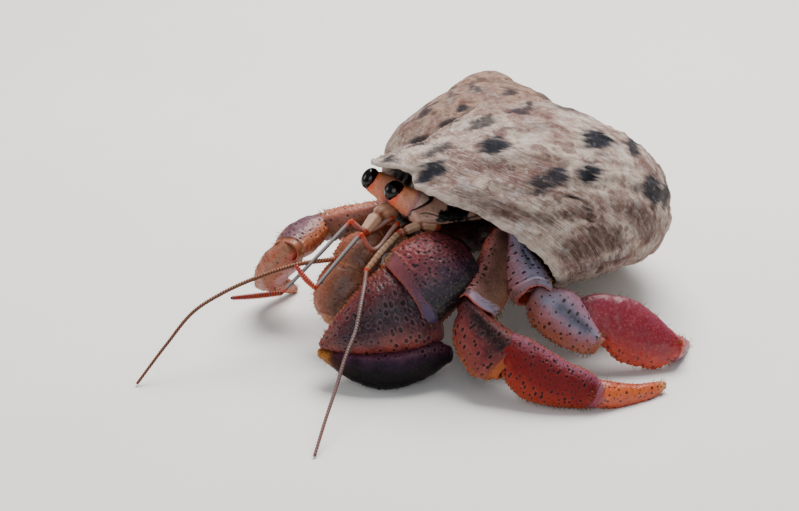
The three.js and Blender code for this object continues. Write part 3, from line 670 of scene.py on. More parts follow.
def make_shell():
    """The whole shell as one closed skin, with its marks."""
    mesh, place, around = ball("shell", SHELL_RINGS, SHELL_SIDES)
    coil, shrink, fill, over = shell_path(place, around)
    inside = ease(over, 0.4, 0.9)
    shoulder = SHELL["shoulder"] * (1 - 0.5 * inside)
    points = shell_points(coil, around, shrink, shoulder, fill)
    write_points(mesh, points)
    face_outward(mesh)
    out = normals(mesh)

    size = SHELL["growth"] ** (coil / (2 * math.pi))
    skin = np.stack([coil * SKIN_ALONG * size, ((around + math.pi) % (2 * math.pi)) * SKIN_AROUND * size,
                     np.zeros(len(coil))], 1)
    rough = drift(skin, size=2.6, seed=3)
    right, up = as_seen(points)
    facing = ease(out @ np.array(BACKWARD), 0.0, 0.15)
    dark = np.maximum(blotted(right, up, rough) * facing, marked(coil, around, far_side_blotches(), rough))
    rust = marked(coil, around, RUST_BLOTCHES, drift(skin, size=3.4, seed=4))
    # painted shadow: where the gap is sunk in and then painted near black
    shadow_gap = marked(coil, around, SHADOW_GAP_SPOTS, 0.6 * rough)
    crack = np.where(facing > 0.5, crack_distance(right, up), FAR)
    crack = crack + 0.10 * drift(skin, size=1.1, seed=9)

    # worn relief: low swellings, growth steps along the lip's direction, a lip that wanders and thins
    outer = 1 - inside
    steps = drift(skin / (1, 9, 1), size=2.2, seed=6) * ease(coil, -2.5, -0.2)
    depth = SHELL_RELIEF
    relief = depth["swellings"] * drift(skin, size=9.0, seed=5) + depth["ragged"] * rough
    relief += depth["steps"] * steps + depth["grain"] * drift(skin, size=0.9, seed=15)
    relief += depth["blotches"] * dark - depth["crack"] * ease(crack, 0.55, 0.1) - depth["shadow_gap"] * shadow_gap
    wander = 0.18 * drift(skin, size=3.2, seed=8) + 0.10 * drift(skin, size=1.3, seed=12)
    lip = ease(coil, -0.30, -0.10) * (place > 0.5)
    along = shell_points(coil + 0.01, around, shrink, shoulder, fill) - points
    along /= np.linalg.norm(along, axis=1, keepdims=True) + 1e-9
    points = points + out * (relief * outer * fill * np.clip(size * 1.4, 0.2, 1))[:, None]
    points = points + along * (wander * lip)[:, None]

    keep_value(mesh, "skin", skin)
    keep_value(mesh, "dark", dark * outer)
    keep_value(mesh, "rust", rust * outer)
    keep_value(mesh, "shadow_gap", shadow_gap * outer)
    keep_value(mesh, "crack", ease(crack, 0.45, 0.08) * outer)
    keep_value(mesh, "inside", inside)
    keep_value(mesh, "lined", 0.22 + 0.60 * ease(coil, -1.0, -0.3))
    keep_value(mesh, "lip", ease(place, 0.853, 0.86))
    # how deep a point lies in the mouth, which sets its painted shade
    keep_value(mesh, "deep", ease(place, 0.88, 0.98))
    keep_value(mesh, "spire", np.maximum(ease(coil, -4.6, -6.8), 0.5 * ease(wrap(around), 1.1, 1.5)))
    return finish_piece(mesh, points, shell_finish(), ["shell"])


shell = make_shell()
print("shell faces:", len(shell.data.polygons))

# %% [markdown]
# ## Limb segments
# A crab's leg is a row of hard tubes with soft joints: coxa, merus, carpus, propodus and the pointed
# dactyl. The tables give each segment as the CAD part has it: the line from joint to joint, the way
# its broad face looks, and a few stations of half-widths along it. Sculpting could give the same
# forms, but numbers keep them inside the solids of the part. The left legs are the ones that reach
# furthest forward.


# %% Left legs, dimensions
OUTWARD_LEFT = (0.694, -0.583, 0.423)
OUTWARD_RIGHT = (-0.73, 0.13, 0.67)
UP = (0, 0, 1)


def limb_length(parts):
    """Millimetres from joint to joint, added up over the segments of a limb."""
    return sum(math.dist(part["from"], part["to"]) for part in parts.values())


# Each station: place along the segment, half-width at its two edges, half-depth outside and inside.
LEFT_LEG_2 = {
  "coxa": {"from": (8.8, 12.5, 19.2), "to": (12.4, 12.3, 20.4), "face": OUTWARD_LEFT,
    "stations": ((0, 2.4, 2.4, 2.2, 2.2), (0.6, 2.6, 2.4, 2.4, 2.4), (1, 2.3, 2.0, 2.2, 2.2))},
  "merus": {"from": (12.2, 12.5, 20.6), "to": (19.4, -0.9, 13.9), "face": OUTWARD_LEFT,
    "stations": ((0, 2.6, 1.6, 2.0, 2.0), (0.45, 4.6, 1.3, 2.6, 2.6), (0.75, 6.0, 1.9, 2.9, 2.9),
      (1, 5.4, 2.3, 2.8, 2.8))},
  "carpus": {"from": (19.4, -0.9, 13.9), "to": (31.1, 0.1, 7.8), "face": OUTWARD_LEFT,
    "stations": ((0, 1.5, 2.2, 1.8, 2.2), (0.15, 1.4, 5.0, 2.7, 2.8), (0.33, 1.5, 6.4, 3.2, 3.2),
      (0.57, 2.3, 7.3, 3.3, 3.3), (0.82, 2.7, 7.2, 3.0, 3.0), (1, 2.0, 5.2, 2.2, 2.4))},
  "propodus": {"from": (29.6, -0.7, 9.1), "to": (42.8, 8.7, 2.3), "face": OUTWARD_LEFT,
    "stations": ((0, 3.2, 3.4, 2.0, 2.2), (0.15, 3.4, 5.2, 2.8, 2.8), (0.35, 3.2, 6.2, 3.1, 2.9),
      (0.6, 2.8, 5.3, 3.1, 2.7), (0.82, 3.0, 3.8, 2.7, 2.3), (1, 2.2, 2.3, 1.9, 1.7))},
  "dactyl": {"from": (42.2, 7.6, 2.4), "to": (46.0, 21.6, 1.5), "face": OUTWARD_LEFT,
    "stations": ((0, 2.2, 1.6, 1.7, 1.7), (0.15, 2.4, 2.5, 1.9, 1.8), (0.35, 1.7, 3.0, 1.8, 1.7),
      (0.6, 0.8, 2.8, 1.6, 1.5), (0.82, 0.7, 2.1, 1.2, 1.1), (1, 0.4, 0.8, 0.6, 0.6))},
}
LEFT_LEG_3 = {
  "coxa": {"from": (9.6, 16.1, 19.3), "to": (13.0, 15.8, 20.4), "face": OUTWARD_LEFT,
    "stations": ((0, 2.2, 2.2, 2.0, 2.0), (0.6, 2.4, 2.2, 2.2, 2.2), (1, 1.9, 1.6, 2.0, 2.0))},
  "merus": {"from": (13.0, 15.4, 20.8), "to": (24.7, 11.0, 14.5), "face": OUTWARD_LEFT,
    "stations": ((0, 1.2, 1.6, 1.8, 1.8), (0.2, 1.5, 2.3, 2.2, 2.2), (0.45, 2.0, 4.2, 2.6, 2.4),
      (0.7, 2.8, 4.9, 2.7, 2.5), (1, 2.9, 4.5, 2.6, 2.4))},
  "carpus": {"from": (24.7, 11.0, 14.5), "to": (34.5, 17.1, 6.9), "face": OUTWARD_LEFT,
    "stations": ((0, 1.6, 3.6, 1.9, 1.9), (0.15, 2.9, 4.9, 2.5, 2.4), (0.33, 3.9, 5.3, 2.7, 2.6),
      (0.55, 3.3, 5.2, 2.6, 2.5), (0.8, 1.8, 4.2, 2.3, 2.2), (1, 0.8, 2.9, 1.6, 1.6))},
  "propodus": {"from": (29.2, 14.5, 10.7), "to": (40.7, 30.5, 3.7), "face": OUTWARD_LEFT,
    "stations": ((0, 2.6, 1.6, 1.2, 1.4), (0.15, 4.8, 2.0, 1.9, 1.9), (0.32, 5.6, 3.2, 2.3, 2.2),
      (0.5, 5.8, 5.1, 2.4, 2.3), (0.7, 4.6, 5.2, 2.3, 2.1), (0.87, 2.9, 4.6, 1.9, 1.8),
      (1, 1.5, 2.1, 1.3, 1.3))},
  "dactyl": {"from": (40.2, 29.6, 3.3), "to": (36.4, 37.6, 0.4), "face": (0.9, 0.35, 0.25),
    "stations": ((0, 2.2, 2.2, 1.5, 1.5), (0.35, 2.1, 2.1, 1.4, 1.4), (0.7, 1.4, 1.5, 1.0, 1.0),
      (1, 0.5, 0.6, 0.5, 0.5))},
}
print(f"left legs: {limb_length(LEFT_LEG_2):.0f} and {limb_length(LEFT_LEG_3):.0f} mm along the joints")

# %% [markdown]
# ## The legs on the far side
# The right legs are folded closer to the shell and are seen less, but they are built in the same way,
# so that the animal is whole from behind. They can't be mirrored from the left, as each leg of a
# standing crab holds a pose of its own.

# %% Right legs, dimensions
RIGHT_LEG_2 = {
  "coxa": {"from": (-5.8, 8.5, 19.4), "to": (-9.3, 6.9, 21.0), "face": OUTWARD_LEFT,
    "stations": ((0, 2.3, 2.3, 2.1, 2.1), (0.6, 2.4, 2.3, 2.2, 2.2), (1, 1.9, 1.9, 2.0, 2.0))},
  "merus": {"from": (-9.1, 6.5, 21.2), "to": (-18.1, -3.4, 17.6), "face": OUTWARD_LEFT,
    "stations": ((0, 1.8, 1.5, 1.9, 1.9), (0.35, 2.8, 1.8, 2.4, 2.4), (0.7, 3.6, 2.0, 2.7, 2.7),
      (1, 3.6, 1.9, 2.6, 2.6))},
  "carpus": {"from": (-18.1, -3.4, 17.6), "to": (-15.3, -13.1, 15.8), "face": UP,
    "stations": ((0, 1.9, 2.2, 1.8, 2.0), (0.25, 2.6, 3.8, 2.4, 2.8), (0.6, 2.9, 4.6, 2.6, 3.2),
      (1, 2.0, 3.6, 1.9, 2.4))},
  "propodus": {"from": (-15.6, -12.4, 16.4), "to": (-25.6, -11.2, 4.9), "face": OUTWARD_RIGHT,
    "stations": ((0, 2.4, 2.2, 1.8, 1.8), (0.2, 3.8, 3.4, 2.5, 2.4), (0.5, 4.3, 4.0, 2.7, 2.5),
      (0.8, 3.4, 3.2, 2.3, 2.2), (1, 2.2, 2.1, 1.7, 1.6))},
  "dactyl": {"from": (-25.2, -11.4, 5.6), "to": (-26.9, -3.4, 0.4), "face": (-0.9, 0.1, 0.4),
    "stations": ((0, 2.1, 2.0, 1.6, 1.6), (0.35, 2.0, 2.1, 1.5, 1.5), (0.7, 1.3, 1.6, 1.1, 1.1),
      (1, 0.5, 0.6, 0.5, 0.5))},
}
RIGHT_LEG_3 = {
  "coxa": {"from": (-6.2, 12.7, 18.4), "to": (-9.4, 12.8, 18.8), "face": UP,
    "stations": ((0, 2.1, 2.1, 2.0, 2.0), (0.6, 2.2, 2.2, 2.1, 2.1), (1, 1.8, 1.8, 1.8, 1.8))},
  "merus": {"from": (-9.2, 12.6, 18.8), "to": (-20.6, 8.2, 13.0), "face": UP,
    "stations": ((0, 1.5, 1.7, 1.7, 1.7), (0.4, 2.2, 2.2, 2.2, 2.6), (0.75, 2.4, 2.4, 2.4, 3.4),
      (1, 2.3, 2.3, 2.3, 3.2))},
  "carpus": {"from": (-20.6, 8.2, 13.0), "to": (-28.4, 12.6, 7.2), "face": OUTWARD_RIGHT,
    "stations": ((0, 2.0, 2.0, 1.8, 2.0), (0.25, 3.6, 3.4, 2.4, 2.5), (0.6, 4.2, 4.0, 2.6, 2.5),
      (1, 2.8, 2.6, 1.8, 1.9))},
  "propodus": {"from": (-27.6, 12.2, 7.9), "to": (-32.6, 26.4, 3.2), "face": OUTWARD_RIGHT,
    "stations": ((0, 2.2, 2.2, 1.4, 1.4), (0.2, 3.9, 3.6, 2.0, 2.0), (0.5, 4.6, 4.4, 2.3, 2.2),
      (0.8, 3.6, 3.6, 2.0, 1.9), (1, 2.0, 2.1, 1.4, 1.4))},
  "dactyl": {"from": (-32.4, 25.8, 3.3), "to": (-29.6, 35.0, 0.4), "face": OUTWARD_RIGHT,
    "stations": ((0, 1.9, 1.9, 1.4, 1.4), (0.35, 1.8, 1.9, 1.3, 1.3), (0.7, 1.2, 1.4, 1.0, 1.0),
      (1, 0.5, 0.5, 0.5, 0.5))},
}
print(f"right legs: {limb_length(RIGHT_LEG_2):.0f} and {limb_length(RIGHT_LEG_3):.0f} mm along the joints")

# %% [markdown]
# ## The claws
# A claw is a leg too, with a broad palm in place of the propodus and a movable finger, the dactyl,
# that closes against it. The finger of the big claw is bowed, so it has one more number, the bow in
# millimetres.

# %% Claws, dimensions
LEFT_CLAW = {
  "coxa": {"from": (5.8, 6.4, 17.3), "to": (8.6, 6.0, 17.6), "face": UP,
    "stations": ((0, 2.6, 2.6, 2.6, 2.6), (0.6, 2.9, 2.9, 2.8, 2.8), (1, 2.6, 2.6, 2.5, 2.5))},
  "merus": {"from": (8.4, 6.2, 17.6), "to": (14.2, -0.6, 18.2), "face": OUTWARD_LEFT,
    "stations": ((0, 2.6, 2.8, 2.6, 2.6), (0.4, 3.9, 4.4, 3.2, 3.2), (0.75, 4.6, 5.6, 3.4, 3.4),
      (1, 4.0, 5.2, 3.0, 3.0))},
  "carpus": {"from": (15.0, 3.1, 19.4), "to": (12.6, -8.1, 14.9), "face": OUTWARD_LEFT,
    "stations": ((0, 3.2, 4.6, 2.4, 3.0), (0.2, 4.4, 7.6, 4.2, 4.0), (0.5, 5.4, 8.8, 5.2, 4.4),
      (0.78, 6.3, 8.8, 4.8, 4.2), (1, 5.9, 7.6, 3.4, 3.4))},
  "palm": {"from": (13.6, -4.9, 13.0), "to": (5.1, -21.9, 7.4), "face": OUTWARD_LEFT,
    "stations": ((0, 6.6, 5.4, 3.2, 4.0), (0.16, 7.2, 8.6, 5.0, 5.4), (0.36, 6.6, 8.4, 5.8, 6.0),
      (0.58, 5.5, 6.3, 5.2, 5.4), (0.8, 3.9, 3.8, 3.8, 4.0), (0.93, 2.2, 2.0, 2.4, 2.6),
      (1, 1.0, 0.9, 1.3, 1.4))},
  "dactyl": {"from": (18.6, -4.7, 5.2), "to": (5.2, -22.4, 6.0), "face": OUTWARD_LEFT, "bow": -1.3,
    "stations": ((0, 1.6, 1.6, 2.0, 2.4), (0.1, 2.9, 2.9, 3.4, 3.8), (0.25, 4.1, 2.6, 4.3, 4.8),
      (0.45, 4.9, 2.1, 4.6, 5.2), (0.65, 4.5, 1.5, 4.2, 4.6), (0.85, 2.9, 1.2, 3.0, 3.3),
      (1, 0.8, 0.8, 1.2, 1.3))},
}
RIGHT_CLAW = {
  "coxa": {"from": (-3.2, 4.8, 16.8), "to": (-5.8, 3.6, 16.8), "face": UP,
    "stations": ((0, 2.3, 2.3, 2.3, 2.3), (0.6, 2.5, 2.5, 2.5, 2.5), (1, 2.2, 2.2, 2.2, 2.2))},
  "merus": {"from": (-5.6, 3.7, 16.9), "to": (-4.4, -2.8, 18.6), "face": OUTWARD_LEFT,
    "stations": ((0, 2.2, 2.0, 2.0, 2.2), (0.5, 2.6, 2.3, 2.0, 2.5), (1, 2.4, 2.6, 1.9, 2.3))},
  "carpus": {"from": (-4.0, -2.6, 19.4), "to": (-3.4, -9.7, 14.9), "face": OUTWARD_LEFT,
    "stations": ((0, 2.0, 2.0, 1.8, 2.0), (0.3, 3.5, 3.4, 2.6, 2.8), (0.7, 4.3, 3.9, 2.9, 3.0),
      (1, 3.6, 3.2, 2.2, 2.4))},
  "palm": {"from": (-3.6, -9.0, 15.6), "to": (-2.4, -13.9, 6.4), "face": OUTWARD_LEFT,
    "stations": ((0, 4.0, 3.2, 2.2, 2.4), (0.25, 4.8, 4.3, 3.2, 3.2), (0.55, 4.4, 4.6, 3.2, 3.2),
      (0.85, 3.0, 3.6, 2.4, 2.4), (1, 1.6, 1.8, 1.4, 1.4))},
  "dactyl": {"from": (1.2, -7.6, 12.6), "to": (-0.9, -13.4, 5.9), "face": OUTWARD_LEFT,
    "stations": ((0, 1.6, 1.2, 1.8, 1.8), (0.3, 2.2, 1.4, 2.4, 2.4), (0.7, 1.8, 1.2, 2.0, 2.0),
      (1, 0.7, 0.7, 0.9, 0.9))},
}
print(f"claws: {limb_length(LEFT_CLAW):.0f} and {limb_length(RIGHT_CLAW):.0f} mm along the joints")

# %% [markdown]
# ## From a table to a tube
# The far end of a real segment is an open cup with a thickened, finely toothed rim, and the next
# segment comes out of a soft orange membrane in it. So one function places the ball's points along a
# segment, and its last rings turn over the rim and go down into the cup. It also returns how far
# along and how far from edge to edge every point lies, because the colours follow those directions.


# %% Limb shape
BALL_START = 0.06        # share of the rings in the rounded near end
BALL_END = 0.86          # from here on the rings turn over the rim and into the cup
TIP_END = 0.93           # or, on a pointed segment, round off the tip
CUP_DEPTH = 1.3
RIM_WIDTH = 0.55
LEAST_HALF_WIDTH = 0.25


def limb_shape(part, place, angle, pointed, lobes=()):
    """Points of a segment in part millimetres, and the places of those points along and across it."""
    start = np.array(part["from"])
    axis = np.array(part["to"]) - start
    length = np.linalg.norm(axis)
    axis = axis / length
    side = np.cross(part["face"], axis)
    side = side / np.linalg.norm(side)
    deep = np.cross(axis, side)
    stations = np.array(part["stations"], float)
    end = TIP_END if pointed else BALL_END
    t = np.clip((place - BALL_START) / (end - BALL_START), 0, 1)
    widths = np.maximum(through(t, stations[:, 0], stations[:, 1:]), LEAST_HALF_WIDTH)

    swell = np.ones(len(t))
    shift = np.zeros(len(t))
    near = place < BALL_START
    turn = place[near] / BALL_START * math.pi / 2
    swell[near] = np.sin(turn)
    shift[near] = -0.5 * stations[0, 3] * np.cos(turn)
    beyond = np.clip((place - end) / (1 - end), 0, 1)
    cup = np.zeros(len(t))
    if pointed:
        swell = swell * np.cos(beyond * math.pi / 2)
        shift = shift + 0.5 * stations[-1, 3] * np.sin(beyond * math.pi / 2)
    else:
        over = np.clip(beyond / 0.3, 0, 1) * math.pi
        rim = RIM_WIDTH / widths.mean(axis=1)
        down = ease(beyond, 0.3, 0.6)
        floor = np.clip((beyond - 0.6) / 0.4, 0, 1)
        swell = swell * (1 - rim * (1 - np.cos(over)) / 2 - 0.12 * down) * (1 - floor)
        shift = shift + 0.28 * np.sin(over) - CUP_DEPTH * down + 0.35 * floor
        cup = ease(beyond, 0.12, 0.34)
    for middle, width, reach in lobes:
        shift = shift + reach * np.exp(-((wrap(angle - middle) / width) ** 2)) * ease(t, 0.6, 1.0)

    c, s = np.cos(angle), np.sin(angle)
    across = c * np.where(c > 0, widths[:, 0], widths[:, 1]) * swell
    depth = s * np.where(s > 0, widths[:, 2], widths[:, 3]) * swell
    across = across - part.get("bow", 0.0) * np.sin(math.pi * t)
    along = t * length + shift
    points = start + along[:, None] * axis + across[:, None] * side + depth[:, None] * deep
    return {
        "points": points, "t": t, "along": along, "edge": 0.5 + 0.5 * c, "face": s, "cup": cup,
        "length": length, "local": np.stack([along, across, depth], 1), "side": side, "axis": axis,
        "beyond": beyond, "closed": swell, "girth": widths.mean() * 2 * math.pi,
    }


cup_test = limb_shape(LEFT_LEG_2["merus"], np.linspace(0, 1, 9), np.zeros(9), False)
print("a segment", round(float(cup_test["length"]), 1), "mm long and about",
      round(float(cup_test["girth"]), 1), "mm round")

# %% [markdown]
# ## Pits and teeth
# The armour is pitted like the peel of an orange, and its keels are toothed like a saw. Scattered
# loops and random points would bunch up, so the pits sit on a grid in which each one is shifted a
# little, and every point of the mesh only asks how far the nearest pit is. The pits have to be evenly
# spread on the surface, so the way round a section is measured along its outline, not by its angle.


# %% Pits and teeth
def arc_share(angle, part):
    """How far round a section an angle lies, as a share of its outline measured along the surface."""
    plus, minus, outer, inner = np.array(part["stations"])[:, 1:].mean(axis=0)
    turns = np.linspace(0, 2 * math.pi, 361)
    x = np.cos(turns) * np.where(np.cos(turns) > 0, plus, minus)
    y = np.sin(turns) * np.where(np.sin(turns) > 0, outer, inner)
    steps = np.concatenate([[0], np.cumsum(np.hypot(np.diff(x), np.diff(y)))])
    return np.interp(angle % (2 * math.pi), turns, steps / steps[-1]), steps[-1]


def scatter(row, column, key, seed):
    """A number from 0 to 1 that belongs to one pit of the grid."""
    row_key, column_key, draw_key = HASH_KEYS[0]
    return shuffled(row * row_key + column * column_key + key * draw_key + seed)


def spot_field(along, share, girth, spacing, radius, stretch, seed):
    """Distance to the nearest of evenly scattered spots, in spot sizes, and how far in front of it."""
    count = max(4, round(float(np.mean(girth)) / spacing))
    nearest, ahead = np.full(len(along), FAR), np.zeros(len(along))
    for row_step, column_step in itertools.product((-1, 0, 1), repeat=2):
        row = np.floor(along / spacing) + row_step
        offset = 0.5 * (row % 2)
        column = np.floor(share * count - offset) + column_step
        wrapped = column % count
        jitter = [scatter(row, wrapped, key, seed) for key in (1, 2, 3)]
        off_along = along - (row + 0.5 + 0.75 * (jitter[0] - 0.5)) * spacing
        off_share = share - (column + 0.5 + offset + 0.75 * (jitter[1] - 0.5)) / count
        size = radius * (0.65 + 0.75 * jitter[2])
        away = np.hypot(off_along / stretch, off_share * girth) / size
        closer = away < nearest
        nearest = np.where(closer, away, nearest)
        ahead = np.where(closer, off_along / size, ahead)
    return nearest, ahead


def saw(along, step, seed):
    """Unevenly spaced pointed teeth from 0 to 1."""
    phase = along / step + 0.25 * np.sin(along * 1.7 + seed) + 0.15 * np.sin(along * 4.1 + 2 * seed)
    return np.clip(1 - 2.4 * np.abs(np.modf(np.abs(phase))[0] - 0.5), 0, 1)


print("teeth of a saw:", saw(np.linspace(0, 2, 9), step=0.85, seed=1).round(1))

# %% [markdown]
# ## Marks of the armour
# Several things make armour look alive: a smooth band before a thickened rim, saw teeth along the
# keels, pits with a little raised ring, broad hollows, and seams. Each is worked out as one value for
# every point of the mesh. The same value later moves the point and colours it, so that colour and
# relief are always in the same place. The hollows are coloured darker as painted shade.


# %% Marks of the armour
ROUGH_TURN = 6.3         # radians in a whole turn, near enough for spacing
RIM_TOOTH = 0.14         # how far the fine teeth of a rim stand out
RIM_TOOTH_STEP = 0.55


def end_marks(shape, angle, look, seed, pointed):
    """The smooth band at the far end, the low swelling behind it, and the rim."""
    t, side_left = shape["t"], shape["length"] - shape["along"]
    in_band, swelling, rim = np.zeros(len(t)), np.zeros(len(t)), np.zeros(len(t))
    band = look.get("band", 0.0)
    if band:
        wave = 1 + 0.26 * np.sin(2 * angle + seed) + 0.12 * np.sin(5 * angle + 2 * seed)
        in_band = ease(side_left, band * wave, band * 0.78 * wave) * ease(t, 0.3, 0.6)
        swelling = ease(side_left, band * 1.3 * wave, band * wave) * (1 - in_band)
    if not pointed:
        rim = ease(shape["beyond"], 0.0, 0.06) * ease(shape["beyond"], 0.30, 0.2)
    return in_band, swelling, rim


def keel_marks(shape, look, seed, skin):
    """The keels along both edges, their saw teeth, and how far these push a point sideways."""
    low_keel, high_keel = ease(shape["edge"], 0.06, 0.01), ease(shape["edge"], 0.94, 0.99)
    low_tooth, high_tooth = look.get("teeth", (0.0, 0.0))
    teeth = saw(shape["along"], look.get("tooth_step", 0.85), seed)
    keel = low_keel * (low_tooth > 0) + high_keel * (high_tooth > 0)
    push = (high_keel * high_tooth - low_keel * low_tooth) * teeth * skin
    return keel, teeth, push


def hollow_marks(shape, look):
    """Broad dips of the outer face, for painted shade, and how many millimetres the skin sinks in them."""
    t, edge = shape["t"], shape["edge"]
    hollow_shade, sink = np.zeros(len(t)), np.zeros(len(t))
    for middle, width, depth, first, last in look.get("hollows", ()):
        dip = np.exp(-(((edge - middle) / width) ** 2)) * ease(t, first, first + 0.15)
        dip = dip * ease(t, last, last - 0.15) * ease(shape["face"], 0.0, 0.5)
        hollow_shade = np.maximum(hollow_shade, dip)
        sink = sink + depth * dip
    return hollow_shade, sink


def seam_mark(shape, angle, look, open_skin):
    """A fine seam along a bent line, given as places along the segment and angles round it."""
    bends = look.get("seams", ())
    if not bends:
        return np.zeros(len(angle))
    line = np.interp(shape["t"], [bend_t for bend_t, _ in bends], [turn for _, turn in bends])
    return ease(np.abs(wrap(angle - line)) * shape["girth"] / ROUGH_TURN, 0.35, 0.08) * open_skin


print("rim teeth stand out", RIM_TOOTH, "mm and are", RIM_TOOTH_STEP, "mm apart")

# %% [markdown]
# ## Armour plates
# One function now makes any hard piece. It chooses enough rings and sides for the size of the piece,
# shapes the ball, works out the marks, adds up their relief in millimetres and moves each point along
# its own normal. A displacement in the material could do the same for a render, but a real relief is
# still there when the mesh is made into a solid.


# %% Armour plates
FEWEST_SIDES, MOST_SIDES = 28, 240
SPARE_RINGS = 16         # rings for the rounded end and the cup
RING_STRETCH = 0.8       # a face is this much shorter along the segment than it is wide


def plate_mesh(name, part, look, pointed):
    """A ball fine enough for the segment, shaped, with its points' places."""
    fine = look.get("fine", 0.24)
    size = limb_shape(part, np.array([0.5]), np.array([0.0]), pointed)
    rings = int(size["length"] / fine / RING_STRETCH) + SPARE_RINGS
    sides = int(min(max(size["girth"] / fine, FEWEST_SIDES), MOST_SIDES))
    mesh, place, angle = ball(name + "_plate", rings, sides)
    shape = limb_shape(part, place, angle, pointed, look.get("lobes", ()))
    write_points(mesh, shape["points"])
    face_outward(mesh)
    return mesh, angle, shape


def armour(name, part, look):
    """One hard segment: its mesh, its relief, the values that its finish reads, and its place."""
    pointed = look.get("pointed", False)
    seed = sum(ord(letter) for letter in name) % 97
    mesh, angle, shape = plate_mesh(name, part, look, pointed)
    t, edge, local = shape["t"], shape["edge"], shape["local"]
    open_skin = (1 - shape["cup"]) * ease(t, 0.0, 0.06)
    in_band, swelling, rim = end_marks(shape, angle, look, seed, pointed)
    skin = open_skin * (1 - in_band)
    keel, teeth, push = keel_marks(shape, look, seed, skin)
    keel = keel * open_skin * (1 - 0.7 * in_band)

    spacing, radius, stretch = look.get("pits", (1.5, 0.2, 1.0))
    share, outline = arc_share(angle, part)
    girth = outline * np.maximum(shape["closed"], 0.2)
    spot, ahead = spot_field(shape["along"], share, girth, spacing, radius, stretch, seed)
    weight = look.get("pit_zone", lambda edge, t: 1.0)(edge, t) * skin * (1 - 0.6 * keel)
    pit = ease(spot, 1.25, 0.45) * weight
    ring = ease(spot, 2.0, 1.4) * ease(spot, 0.9, 1.2) * weight
    hollow_shade, sink = hollow_marks(shape, look)
    seam = seam_mark(shape, angle, look, open_skin)
    scale_zone = look.get("scale_zone", lambda edge, t: 0.0)(edge, t) * skin
    scales = scale_zone * ease(speckle(local, look.get("scale_size", 0.8), seed + 5), 0.55, 0.1)

    relief = look.get("pit_depth", 0.10) * (0.3 * ring - pit) - sink - 0.3 * seam + 0.16 * scales
    relief = relief + look.get("sway", 0.05) * drift(local, 2.8, seed + 1) * open_skin
    relief = relief + look.get("grain", 0.025) * drift(local, 0.7, seed + 2) * skin
    relief = relief - 0.10 * in_band + 0.16 * swelling + 0.12 * rim
    rim_saw = saw(angle * shape["girth"] / ROUGH_TURN, RIM_TOOTH_STEP, seed)
    points = shape["points"] + normals(mesh) * relief[:, None]
    points = points + shape["side"] * push[:, None]
    points = points + shape["axis"] * (RIM_TOOTH * rim * rim_saw)[:, None]

    values = {
        "edge": edge, "along": t, "spot": spot, "ahead": ahead, "spotted": weight, "ring": ring,
        "band": in_band, "rim": np.maximum(rim, keel * (0.45 + 0.55 * teeth)), "cup": shape["cup"],
        "hollow_shade": hollow_shade, "face": 0.5 + 0.5 * shape["face"], "scales": scales, "seam": seam,
    }
    for number, (middle, turn, half_t, half_turn, _) in enumerate(look.get("blots", ())):
        away = np.hypot((t - middle) / half_t, wrap(angle - turn) / half_turn)
        ragged = 0.22 * drift(local, 2.0, seed + 7 + number) + 0.10 * drift(local, 0.7, seed + 8)
        values[f"blot_{number}"] = ease(away + ragged, 1.1, 0.75)
    for key, value in values.items():
        keep_value(mesh, key, value)
    return finish_piece(mesh, points, chitin(name + "_skin", look), [name])


print("an armour plate has", FEWEST_SIDES, "to", MOST_SIDES, "sides")

# %% [markdown]
# ## The finish of armour
# Crab armour is coloured from within and has a thin wet-looking top layer. The recipe runs a colour
# ramp from edge to edge of the segment, disturbed by noise so that it never shows a straight border.
# Then it adds tints along the length, the pale band, dark pits, the orange rim and teeth, and the
# membrane in the cup. On some segments the ramp, tints, hollows and inner face carry painted shade
# and painted sheen, and the pale granule tops are partly a painted highlight. Two reliefs finer than
# the mesh, granules and a fine skin grain, are bumps.


# %% Armour finish
RIM_STRENGTH = 0.75


def armour_ground(f, look, edge, along, wobble):
    """Armour colour: edge-to-edge ramp, tints along it, painted shade in hollows and on the inner face."""
    place = f.calc("ADD", edge, wobble, clamp=True)
    tints = look["colours"]
    base = f.ramp(place, [(0.06 + 0.88 * i / (len(tints) - 1), tint) for i, tint in enumerate(tints)])
    for start, end, tint, strength in look.get("tints", ()):
        reach = f.spread(f.calc("ADD", along, f.calc("MULTIPLY", wobble, 0.5)), start, end, 0, strength)
        base = f.mix(reach, base, tint)
    # painted shade: the broad hollows are darkened where shade falls in them
    base = f.mix(f.calc("MULTIPLY", f.stored("hollow_shade"), look.get("hollow_strength", 0.6)), base,
                 look.get("hollow_colour", "#5c5560"))
    # painted shade: the inner colour darkens the face turned away from the light
    if look.get("inner"):
        base = f.mix(f.spread(f.stored("face"), 0.45, 0.2, 0, 0.85), base, look["inner"])
    return base


def armour_pits(f, look, base):
    """The pale ring round each pit, and its dark bottom with a lighter comma on one side."""
    ring = f.calc("MULTIPLY", f.stored("ring"), look.get("ring_strength", 0.09))
    base = f.mix(ring, base, look.get("ring_colour", "#c09090"))
    comma = f.spread(f.stored("ahead"), 0.05, 0.45, 0.0, look.get("crescent", 0.55))
    core = f.calc("MULTIPLY", comma, f.spread(f.stored("spot"), 0.75, 0.45))
    dark = f.calc("MULTIPLY", f.spread(f.stored("spot"), 1.12, 0.82), f.calc("SUBTRACT", 0.95, core))
    dark = f.calc("MULTIPLY", dark, f.spread(f.stored("spotted"), 0.15, 0.6))
    return f.mix(dark, base, look.get("pit_colour", "#2c0f14"))


